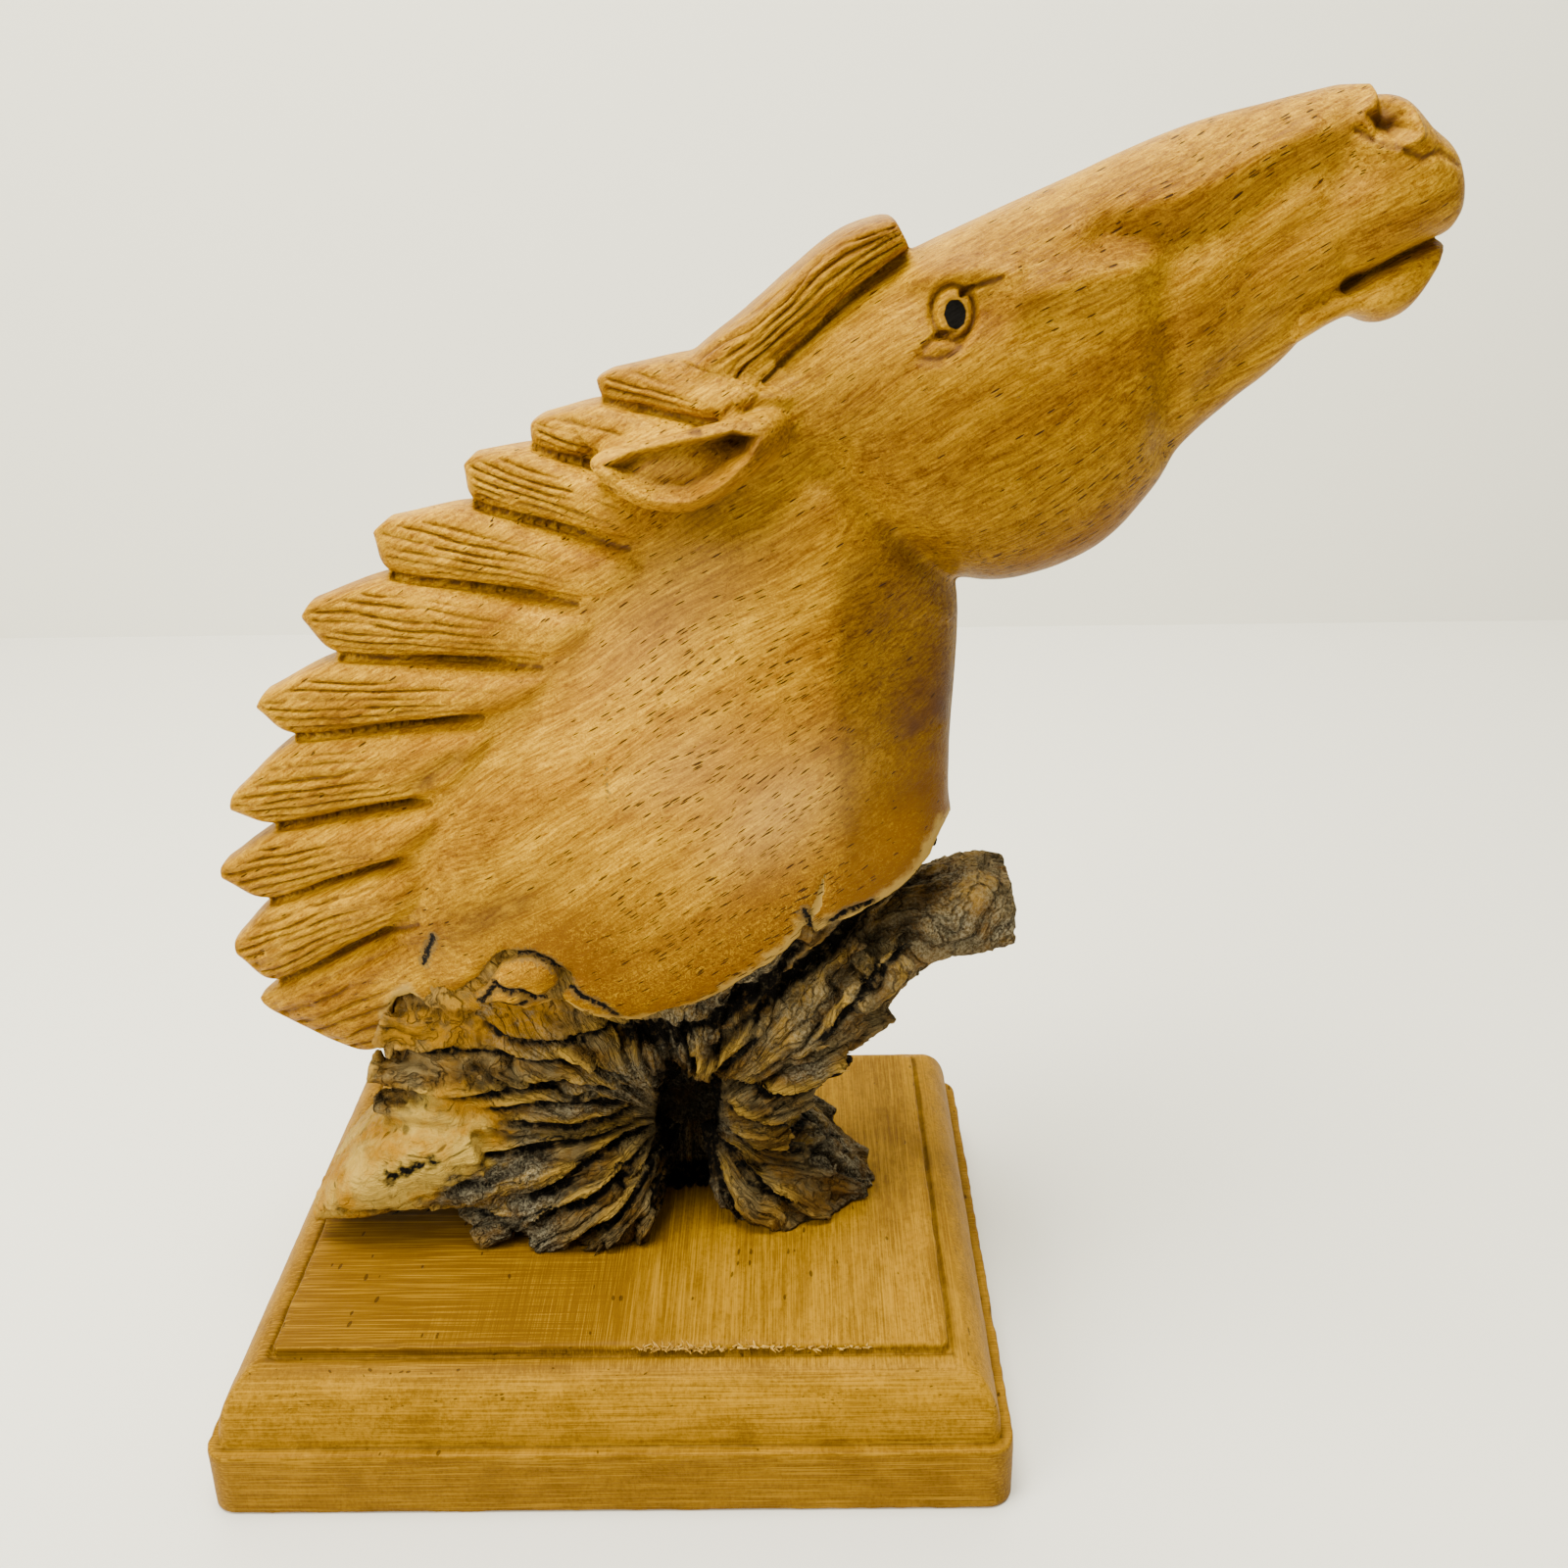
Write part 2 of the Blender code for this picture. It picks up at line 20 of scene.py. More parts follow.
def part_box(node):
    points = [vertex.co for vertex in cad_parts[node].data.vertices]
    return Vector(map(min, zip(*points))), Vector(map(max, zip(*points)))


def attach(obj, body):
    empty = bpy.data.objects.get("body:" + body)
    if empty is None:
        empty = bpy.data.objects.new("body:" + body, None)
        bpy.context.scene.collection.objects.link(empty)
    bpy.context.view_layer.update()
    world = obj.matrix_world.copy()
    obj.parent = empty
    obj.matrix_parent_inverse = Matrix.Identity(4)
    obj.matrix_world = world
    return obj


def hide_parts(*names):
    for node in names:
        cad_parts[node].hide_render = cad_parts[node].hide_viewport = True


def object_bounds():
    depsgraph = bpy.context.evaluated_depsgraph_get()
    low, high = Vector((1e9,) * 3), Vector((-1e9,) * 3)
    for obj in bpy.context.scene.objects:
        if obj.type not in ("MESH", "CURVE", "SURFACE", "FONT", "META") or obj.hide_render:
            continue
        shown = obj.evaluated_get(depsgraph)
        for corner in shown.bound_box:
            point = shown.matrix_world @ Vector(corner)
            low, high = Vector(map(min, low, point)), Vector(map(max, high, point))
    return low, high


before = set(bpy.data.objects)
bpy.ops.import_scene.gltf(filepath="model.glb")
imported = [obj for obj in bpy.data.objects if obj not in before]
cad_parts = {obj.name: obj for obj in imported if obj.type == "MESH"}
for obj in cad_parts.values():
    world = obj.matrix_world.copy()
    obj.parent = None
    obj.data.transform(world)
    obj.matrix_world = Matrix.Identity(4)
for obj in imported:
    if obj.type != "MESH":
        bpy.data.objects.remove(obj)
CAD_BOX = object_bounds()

LOG = logging.getLogger("horse_head")
BODY = "root"
MILLIMETRE = 0.001

# The frame gives the carving's share: its highest point lies this many shares over its seat
HIGHEST_SHARE = 99.55
SEAT_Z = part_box("horse_head")[0].z
SHARE = (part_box("horse_head")[1].z - SEAT_Z) / HIGHEST_SHARE
SHARE_MM = SHARE / MILLIMETRE

Values = np.ndarray
Points = np.ndarray
Path = list[tuple[float, float]]
Stations = list[tuple[float, ...]]
Colour = tuple[float, float, float]
Socket = bpy.types.NodeSocket
NodeTree = bpy.types.NodeTree
Material = bpy.types.Material
Mesh = bpy.types.Mesh
Object = bpy.types.Object


class CutShape(Enum):
    """How a tool's cut looks across its line."""

    GOUGE = "a round hollow"
    VEE = "a sharp valley"
    STOP = "a drop on the right of the line that runs out to the surface"
    BEVEL = "a flat that falls away on the right of the line"


# Stations of the carved masses. Each is (x, z of the upper edge, x, z of the lower edge,
# half thickness, height of the widest line from -1 to 1, squareness), in shares.
SKULL = [
    (60.2, 99.9, 59.8, 85.2, 4.6, 0.10, 2.6),
    (57.0, 99.3, 58.0, 82.4, 5.4, 0.10, 2.4),
    (53.0, 98.4, 55.6, 79.2, 5.4, 0.15, 2.4),
    (48.0, 97.2, 51.6, 75.8, 5.8, 0.20, 2.3),
    (43.0, 95.4, 48.2, 72.6, 6.8, 0.15, 2.3),
    (37.5, 93.0, 46.0, 69.0, 8.0, 0.05, 2.3),
    (32.5, 90.9, 41.8, 64.6, 8.8, 0.00, 2.4),
    (27.5, 88.7, 35.6, 62.1, 9.2, 0.05, 2.4),
    (22.0, 86.4, 29.2, 61.8, 8.8, 0.05, 2.3),
    (15.0, 82.0, 23.0, 63.0, 7.6, 0.00, 2.2),
]
UPPER_LIP = [
    (55.6, 97.0, 56.8, 84.6, 5.2, 0.1, 2.4),
    (59.8, 98.6, 60.6, 85.6, 5.8, 0.1, 2.4),
    (62.6, 98.7, 63.4, 87.1, 6.0, 0.0, 2.4),
    (64.8, 96.8, 65.6, 88.2, 5.4, 0.0, 2.4),
    (66.9, 95.2, 67.2, 88.8, 4.2, 0.0, 2.3),
    (68.3, 92.4, 68.2, 89.9, 2.0, 0.0, 2.0),
]
LOWER_LIP = [
    (56.0, 84.6, 56.0, 80.4, 4.6, 0.0, 2.2),
    (59.6, 85.4, 60.0, 82.7, 4.4, 0.0, 2.2),
    (62.4, 86.5, 62.6, 82.2, 4.5, 0.0, 2.3),
    (65.0, 87.6, 64.7, 83.0, 4.0, 0.0, 2.3),
    (66.7, 88.2, 66.2, 85.2, 3.1, 0.0, 2.2),
    (67.6, 88.3, 67.3, 87.2, 1.4, 0.0, 2.0),
]
NECK = [
    (29.5, 66.0, 13.0, 83.0, 7.6, 0.1, 2.2),
    (30.6, 60.0, 3.0, 74.0, 8.2, 0.1, 2.2),
    (30.6, 54.0, -5.0, 64.5, 8.8, 0.1, 2.3),
    (30.3, 48.0, -11.5, 54.0, 9.8, 0.1, 2.4),
    (30.3, 42.6, -17.0, 45.0, 10.8, 0.0, 2.5),
    (30.6, 38.6, -20.0, 36.0, 11.3, 0.0, 2.6),
    (28.0, 34.8, -20.5, 28.5, 11.2, 0.0, 2.7),
    (21.0, 29.0, -17.0, 24.0, 10.2, 0.0, 2.6),
    (12.0, 24.0, -9.0, 21.5, 7.6, 0.0, 2.4),
]
FORELOCK = [
    (4.5, 77.0, 10.0, 71.0, 4.6, 0.2, 2.2),
    (9.5, 81.2, 13.6, 76.8, 5.4, 0.2, 2.4),
    (13.0, 83.8, 16.0, 79.6, 5.8, 0.2, 2.5),
    (16.6, 86.8, 19.0, 82.6, 5.8, 0.2, 2.6),
    (20.2, 89.5, 22.6, 85.6, 5.4, 0.2, 2.8),
    (23.2, 90.6, 25.2, 87.6, 5.0, 0.2, 3.2),
    (24.6, 90.7, 25.9, 88.3, 4.8, 0.1, 3.4),
]

# Mane: lock tips from the lowest to the highest, then the outer and the inner end of the valley
# below each lock, and how many grooves each lock has over which share of its width
LOCK_TIPS = [(-33.4, 21.2), (-35.6, 27.4), (-35.8, 35.2), (-33.9, 42.0), (-30.0, 51.6),
             (-25.0, 59.7), (-17.8, 66.9), (-9.9, 72.3), (-4.1, 75.5), (1.6, 79.0)]
NOTCHES = [(-23.5, 16.2), (-31.6, 23.9), (-31.3, 32.4), (-29.6, 39.9), (-26.8, 48.4), (-22.1, 55.7),
           (-17.0, 62.8), (-9.4, 68.7), (-4.3, 73.4), (1.7, 77.0), (9.3, 80.6)]
VALLEY_ENDS = [(-14.0, 22.0), (-16.5, 33.0), (-19.0, 38.0), (-14.7, 44.0), (-9.6, 51.6), (-4.2, 56.2),
               (-1.0, 61.5), (3.5, 66.0), (3.0, 71.5), (9.7, 75.8), (15.0, 79.0)]
LOCK_GROOVES = [(6, 0.88), (7, 0.86), (6, 0.80), (7, 0.82), (6, 0.76), (7, 0.80), (6, 0.72), (6, 0.76),
                (5, 0.80), (5, 0.86)]

# Ears: stations along the leaf, with the distance of their middle from the XZ plane
EAR = [
    (17.4, 76.2, 16.8, 73.8, 1.2, 5.4),
    (15.6, 77.0, 15.0, 73.0, 2.5, 7.3),
    (12.6, 76.7, 12.2, 71.2, 3.2, 8.7),
    (9.0, 75.9, 8.6, 69.5, 3.6, 8.8),
    (5.0, 74.8, 5.0, 69.8, 3.4, 8.3),
    (2.2, 74.2, 2.2, 71.4, 2.8, 7.9),
    (0.9, 73.4, 1.0, 72.7, 1.4, 8.2),
]

# Root: the masses beside, over and behind the cavity, the sawn stub, the hanging flare, and the
# heart of the root that carries the neck
ROOT_LEFT = [
    (2.0, 27.0, -20.0, 28.0, 8.8, 0.0, 2.6),
    (3.0, 20.0, -22.5, 18.5, 8.6, 0.0, 2.6),
    (3.2, 13.5, -22.5, 12.0, 8.2, 0.0, 2.6),
    (3.0, 7.0, -23.0, 7.0, 8.8, 0.0, 2.8),
    (3.0, 3.0, -19.0, 3.0, 9.4, 0.0, 2.8),
    (3.2, -1.5, -15.0, -1.5, 9.4, 0.0, 2.8),
]
ROOT_RIGHT = [
    (25.0, 33.0, 8.0, 28.0, 7.6, 0.0, 2.6),
    (21.0, 24.0, 8.4, 20.0, 7.2, 0.0, 2.6),
    (15.4, 15.5, 9.0, 13.5, 6.4, 0.0, 2.4),
    (14.4, 10.0, 9.2, 8.4, 6.2, 0.0, 2.0),
    (19.4, 6.2, 9.4, 3.8, 6.8, 0.0, 1.7),
    (25.4, -1.5, 9.6, -1.5, 7.0, 0.0, 1.6),
]
WEDGE = [
    (15.0, 32.0, -4.0, 30.0, 9.0, 0.0, 2.4),
    (12.0, 24.0, 0.0, 23.5, 8.8, 0.0, 2.4),
    (8.6, 17.6, 3.4, 17.4, 7.4, 0.0, 2.2),
    (6.8, 14.8, 5.0, 14.8, 5.0, 0.0, 2.0),
]
ROOT_BACK = [
    (20.0, 28.0, -14.0, 26.0, 5.2, 0.0, 3.0),
    (13.0, 12.0, -16.0, 12.0, 4.6, 0.0, 3.0),
    (18.0, -1.5, -16.0, -1.5, 5.4, 0.0, 3.0),
]
ROOT_BACK_OFFSET = 3.8
STUB = [
    (12.0, 25.0, 14.0, 12.5, 5.6, 0.0, 2.6),
    (20.0, 29.5, 22.0, 17.6, 6.4, 0.0, 2.6),
    (27.6, 33.0, 28.4, 25.4, 5.6, 0.0, 3.0),
    (32.8, 34.6, 33.2, 27.0, 5.2, 0.0, 3.6),
    (36.2, 34.2, 36.4, 27.8, 4.8, 0.0, 3.8),
]
FLARE = [
    (-14.0, 13.5, -10.0, 3.0, 7.4, 0.2, 2.4),
    (-21.5, 12.0, -18.0, 2.2, 7.8, 0.2, 2.4),
    (-26.4, 8.0, -24.6, 1.6, 7.0, 0.2, 2.6),
    (-29.6, 3.8, -29.2, 1.4, 5.4, 0.0, 2.6),
]
FLARE_OFFSET = -3.4
HEART = [
    (28.8, 43.0, -15.0, 45.0, 9.4, 0.0, 2.5),
    (29.4, 38.6, -19.0, 36.0, 10.2, 0.0, 2.6),
    (27.6, 34.8, -20.0, 28.5, 10.5, 0.0, 2.7),
    (20.6, 29.0, -17.0, 24.0, 9.7, 0.0, 2.6),
    (12.0, 24.0, -9.0, 21.5, 7.4, 0.0, 2.4),
]

# Flutes of root bark, from the rim of the cavity out to these places. Each is (x, z of the far
# end, girth, how far it stands out).
HUB = (6.0, 10.5)
HUB_RADIUS = 3.2
FLUTE_SEAT = 7.6
FLUTE_SINK = (2.8, 0.7, 1.4)
FLUTE_RISE = (0.0, 0.6, 0.9)
FLUTE_TAPER = (0.5, 1.0, 0.8)
FLUTE_FLATNESS = 0.8
FLUTES = [
    (-15.5, 26.4, 2.4, 1.0), (-21.5, 22.0, 2.2, 0.4), (-22.6, 18.0, 1.8, 1.2), (-23.0, 14.2, 1.9, 0.6),
    (-22.4, 10.8, 2.0, 0.0), (-25.0, 6.4, 2.6, 0.6), (-18.0, 4.4, 2.0, 1.9), (-14.0, 1.0, 2.2, 3.2),
    (-8.6, -0.4, 2.1, 4.0), (-3.6, -0.8, 2.0, 4.2), (0.2, -0.8, 1.5, 3.2),
    (12.4, -1.0, 1.5, 0.0), (15.6, -0.6, 1.6, 0.6), (19.2, 0.0, 1.7, -0.4), (23.4, 0.4, 1.8, -4.0),
    (20.4, 4.0, 1.6, -1.8), (15.8, 9.6, 1.5, 0.2),
    (17.8, 14.8, 1.8, 0.4), (21.2, 18.2, 1.9, 0.0), (24.8, 23.2, 2.2, -0.6), (26.6, 28.6, 2.0, 0.0),
    (22.0, 30.4, 1.8, -0.6), (15.5, 29.4, 2.0, 0.6), (10.0, 24.6, 1.8, 0.9), (1.0, 22.6, 1.8, 0.8),
    (-6.0, 25.4, 2.2, 0.8),
]

# The ragged line where the polished neck ends, from the lowest lock to the neck's front
LIVE_EDGE = [
    (-27.0, 12.0), (-22.8, 16.4), (-21.0, 19.6), (-20.6, 22.4), (-19.6, 25.0), (-18.3, 25.7), (-16.8, 24.6),
    (-12.8, 24.9), (-11.4, 25.6), (-9.4, 26.6), (-7.4, 25.6), (-5.0, 26.4), (-3.6, 26.2), (-1.1, 23.9),
    (2.3, 23.0), (6.7, 24.3), (9.8, 26.4), (11.6, 28.2), (13.8, 29.6), (15.7, 31.4), (16.9, 32.8),
    (17.3, 33.9), (18.4, 32.9), (19.3, 33.5), (21.2, 33.9), (24.0, 35.2), (25.5, 35.9), (26.9, 37.1),
    (28.1, 38.5), (29.1, 40.3), (30.1, 40.7), (36.0, 39.5),
]
RAGGED_STEP = 0.35
RAGGEDNESS = 0.30


class Noise:
    """Smooth noise and cells over points in space, the same for the same seed."""

    TABLE_SIZE = 4096
    PRIMES = (73856093, 19349663, 83492791)

    def __init__(self, seed: int) -> None:
        """Fill the table of random numbers.

        Args:
            seed: number that fixes the noise.
        """
        self.table = np.random.default_rng(seed).random((self.TABLE_SIZE, 4))

    def lattice(self, cells: Values) -> Values:
        """Return four random numbers from 0 to 1 for each lattice cell.

        Args:
            cells: whole coordinates, one row of three for each cell.

        Returns:
            One row of four numbers for each cell.
        """
        x, y, z = (cells[:, i] * self.PRIMES[i] for i in range(3))
        mixed = x ^ y ^ z
        mixed = mixed ^ (mixed >> 13)
        return self.table[mixed & (self.TABLE_SIZE - 1)]

    def value(self, points: Points) -> Values:
        """Return smooth noise from -1 to 1.

        Args:
            points: one row of three for each place; the noise changes over about one unit.

        Returns:
            One number for each place.
        """
        base = np.floor(points).astype(np.int64)
        t = points - base
        t = t * t * t * (t * (t * 6 - 15) + 10)
        total = np.zeros(len(points))
        for corner in range(8):
            step = np.array([corner & 1, corner >> 1 & 1, corner >> 2 & 1])
            weight = np.prod(np.where(step, t, 1 - t), axis=1)
            total += weight * self.lattice(base + step)[:, 0]
        return 2 * total - 1

    def layers(self, points: Points, octaves: int = 3, gain: float = 0.5) -> Values:
        """Return noise summed over octaves, from about -1 to 1.

        Args:
            points: one row of three for each place.
            octaves: number of layers, each twice as fine as the last.
            gain: strength of each layer against the last.

        Returns:
            One number for each place.
        """
        total, strength, whole = np.zeros(len(points)), 1.0, 0.0
        for octave in range(octaves):
            total += strength * self.value(points * 2 ** octave + 17.3 * octave)
            whole += strength
            strength *= gain
        return total / whole

    def cells(self, points: Points) -> tuple[Values, Values, Values]:
        """Split space into random cells.

        Args:
            points: one row of three for each place; a cell is about one unit wide.

        Returns:
            The distance to the nearest cell wall, two random numbers from 0 to 1 of the place's own
            cell in a row, and the way from the cell's middle to the place.
        """
        base = np.floor(points).astype(np.int64)
        first = np.full(len(points), np.inf)
        second = np.full(len(points), np.inf)
        own = np.zeros((len(points), 2))
        away = np.zeros((len(points), 3))
        for dx in (-1, 0, 1):
            for dy in (-1, 0, 1):
                for dz in (-1, 0, 1):
                    cell = base + np.array([dx, dy, dz])
                    random = self.lattice(cell)
                    way = points - cell - random[:, :3]
                    gap = np.sqrt(np.einsum("ij,ij->i", way, way))
                    nearer = gap < first
                    second = np.where(nearer, first, np.minimum(second, gap))
                    first = np.where(nearer, gap, first)
                    own[nearer] = random[nearer][:, 2:]
                    away[nearer] = way[nearer]
        return second - first, own, away


def smooth_step(low: float, high: float, values: Values) -> Values:
    """Return a smooth change from 0 at low to 1 at high."""
    t = np.clip((values - low) / (high - low), 0, 1)
    return t * t * (3 - 2 * t)


def spot(x: Values, z: Values, middle: tuple[float, float], reach: tuple[float, float],
         tilt: float = 0.0) -> Values:
    """Return a soft elliptic spot, 1 in its middle.

    Args:
        x: the places' x.
        z: the places' z.
        middle: the spot's middle.
        reach: its two half widths.
        tilt: how far its long axis rises from X, in degrees.

    Returns:
        The spot's strength at each place.
    """
    turn = math.radians(tilt)
    dx, dz = x - middle[0], z - middle[1]
    along = (dx * math.cos(turn) + dz * math.sin(turn)) / reach[0]
    across = (dz * math.cos(turn) - dx * math.sin(turn)) / reach[1]
    return np.exp(-along ** 2 - across ** 2)


def through(rows: Stations, count: int) -> Values:
    """Read a Catmull-Rom curve through rows of numbers.

    Args:
        rows: the rows that the curve passes through.
        count: number of places to read it at.

    Returns:
        One row of numbers for each place.
    """
    known = np.asarray(rows, dtype=float)
    ends = np.vstack([2 * known[0] - known[1], known, 2 * known[-1] - known[-2]])
    place = np.linspace(0, len(known) - 1, count)
    start = np.minimum(place.astype(int), len(known) - 2)
    t = (place - start)[:, None]
    a, b, c, d = ends[start], ends[start + 1], ends[start + 2], ends[start + 3]
    return 0.5 * (2 * b + (c - a) * t + (2 * a - 5 * b + 4 * c - d) * t ** 2
                  + (3 * b - a - 3 * c + d) * t ** 3)


def nearest_on(path: Path, x: Values, z: Values) -> tuple[Values, Values, Values]:
    """Measure places against a path in the XZ plane.

    Args:
        path: the path's points.
        x: the places' x.
        z: the places' z.

    Returns:
        The distance to the path, the side (1 on the right of its direction, -1 on the left) and
        how far along the path the nearest point lies, from 0 to 1.
    """
    lengths = [math.dist(a, b) for a, b in zip(path, path[1:])]
    whole, passed = sum(lengths), 0.0
    nearest = np.full(len(x), np.inf)
    side, along = np.ones(len(x)), np.zeros(len(x))
    for (x0, z0), (x1, z1), length in zip(path, path[1:], lengths):
        run_x, run_z = (x1 - x0) / length, (z1 - z0) / length
        t = np.clip((x - x0) * run_x + (z - z0) * run_z, 0, length)
        off_x, off_z = x - x0 - t * run_x, z - z0 - t * run_z
        gap = np.hypot(off_x, off_z)
        closer = gap < nearest
        nearest = np.where(closer, gap, nearest)
        side = np.where(closer, np.where(run_z * off_x - run_x * off_z > 0, 1.0, -1.0), side)
        along = np.where(closer, (passed + t) / whole, along)
        passed += length
    return nearest, side, along


def inside_distance(outline: Path, x: Values, z: Values) -> Values:
    """Return the distance to a closed outline, above 0 inside it.

    Args:
        outline: the outline's points, the last joined to the first.
        x: the places' x.
        z: the places' z.

    Returns:
        One signed distance for each place.
    """
    closed = [*outline, outline[0]]
    gap, _, _ = nearest_on(closed, x, z)
    inside = np.zeros(len(x), dtype=bool)
    for (x0, z0), (x1, z1) in zip(closed, closed[1:]):
        if z0 != z1:
            crosses = (z0 > z) != (z1 > z)
            inside ^= crosses & (x < x0 + (z - z0) * (x1 - x0) / (z1 - z0))
    return np.where(inside, gap, -gap)


def new_object(name: str, mesh: Mesh) -> Object:
    """Link a new object that holds a mesh."""
    made = bpy.data.objects.new(name, mesh)
    bpy.context.scene.collection.objects.link(made)
    return made


def baked(draft: Object, name: str) -> Mesh:
    """Turn an object and its modifiers into a plain mesh, and remove the object.

    Args:
        draft: the object.
        name: the new mesh's name.

    Returns:
        The mesh.
    """
    graph = bpy.context.evaluated_depsgraph_get()
    result = bpy.data.meshes.new_from_object(draft.evaluated_get(graph))
    old = draft.data
    bpy.data.objects.remove(draft)
    bpy.data.meshes.remove(old)
    result.name = name
    return result


def points_of(mesh: Mesh) -> Points:
    """Return a mesh's points, one row each."""
    flat = np.empty(len(mesh.vertices) * 3, dtype=np.float32)
    mesh.vertices.foreach_get("co", flat)
    return flat.reshape(-1, 3).astype(float)


def normals_of(mesh: Mesh) -> Points:
    """Return a mesh's point normals, one row each."""
    flat = np.empty(len(mesh.vertices) * 3, dtype=np.float32)
    mesh.vertex_normals.foreach_get("vector", flat)
    return flat.reshape(-1, 3).astype(float)


def set_points(mesh: Mesh, points: Points) -> None:
    """Move a mesh's points."""
    mesh.vertices.foreach_set("co", points.astype(np.float32).ravel())
    mesh.update()


def give_attribute(mesh: Mesh, name: str, values: Values) -> None:
    """Store one number, or one row of three, for each point of a mesh."""
    kind, field = ("FLOAT", "value") if values.ndim == 1 else ("FLOAT_VECTOR", "vector")
    layer = mesh.attributes.new(name, kind, "POINT")
    layer.data.foreach_set(field, values.astype(np.float32).ravel())


def loft(bm: bmesh.types.BMesh, rings: list[Points]) -> list[bmesh.types.BMFace]:
    """Add a closed body through rings of points.

    Args:
        bm: the mesh to add to.
        rings: the rings in order, each with the same number of points.

    Returns:
        The caps of the first and the last ring.
    """
    loops = [[bm.verts.new(point) for point in ring] for ring in rings]
    for here, there in zip(loops, loops[1:]):
        for i in range(len(here)):
            j = (i + 1) % len(here)
            bm.faces.new((here[i], here[j], there[j], there[i]))
    return [bm.faces.new(loops[0][::-1]), bm.faces.new(loops[-1])]


def mesh_from(name: str, bm: bmesh.types.BMesh) -> Mesh:
    """Write a bmesh to a new mesh and free it."""
    mesh = bpy.data.meshes.new(name)
    bm.to_mesh(mesh)
    bm.free()
    return mesh


def cut_away(draft: Object, block: Object) -> None:
    """Cut a block out of an object with a Boolean modifier, still live."""
    saw = draft.modifiers.new("saw", "BOOLEAN")
    saw.object = block
    saw.operation = "DIFFERENCE"
    saw.solver = "MANIFOLD"


def prism(name: str, outline: Path, half_depth: float) -> Object:
    """Make a hidden block for a Boolean: an outline in the XZ plane, pushed out along Y.

    Args:
        name: the block's name.
        outline: its points in metres, in order.
        half_depth: how far it reaches to either side, in metres.

    Returns:
        The block.
    """
    bm = bmesh.new()
    caps = loft(bm, [[(x, y, z) for x, z in outline] for y in (-half_depth, half_depth)])
    bmesh.ops.triangulate(bm, faces=[cap for cap in caps if len(cap.verts) > 4])
    bmesh.ops.recalc_face_normals(bm, faces=bm.faces)
    block = new_object(name, mesh_from(name, bm))
    block.hide_render = True
    return block


@dataclass(frozen=True)
class Stroke:
    """One cut of a tool, made alike on both sides. Lengths are shares."""

    path: Path
    width: float
    depth: float
    shape: CutShape = CutShape.GOUGE
    ends: tuple[float, float] = (1.0, 1.0)
    reach: float = 3.0

    FINE_WIDTH = 0.62
    FINE_DEPTH = 0.78
    END_FADE = 0.3

    def is_fine(self) -> bool:
        """Tell whether the stroke is a fine line."""
        return self.width < self.FINE_WIDTH and self.depth < self.FINE_DEPTH

    def nearby(self, x: Values, z: Values, around: float) -> Values:
        """Pick the places in the box around the stroke."""
        xs, zs = zip(*self.path)
        return ((x > min(xs) - around) & (x < max(xs) + around)
                & (z > min(zs) - around) & (z < max(zs) + around))

    def cut(self, x: Values, z: Values) -> Values:
        """Work out how deep the stroke cuts.

        Args:
            x: the places' x, in shares.
            z: the places' z, in shares.

        Returns:
            The depth at each place, in shares.
        """
        one_sided = self.shape in (CutShape.STOP, CutShape.BEVEL)
        near = self.nearby(x, z, max(3 * self.width, self.reach if one_sided else 0))
        depth = np.zeros(len(x))
        gap, side, along = nearest_on(self.path, x[near], z[near])
        if self.shape is CutShape.GOUGE:
            profile = np.exp(-(gap / self.width) ** 2)
        elif self.shape is CutShape.VEE:
            profile = np.clip(1 - gap / self.width, 0, 1)
        elif self.shape is CutShape.BEVEL:
            signed = gap * side
            profile = np.clip(signed / self.width, 0, 1) * np.clip((self.reach - signed) / self.width, 0, 1)
            profile *= np.clip(np.minimum(along, 1 - along) / self.END_FADE, 0, 1)
        else:
            signed = gap * side
            drop = smooth_step(-self.width, self.width, signed)
            profile = drop * np.clip(1 - np.maximum(signed, 0) / self.reach, 0, 1) ** 2
        taper = self.ends[0] + (self.ends[1] - self.ends[0]) * along
        depth[near] = self.depth * taper * profile
        return depth


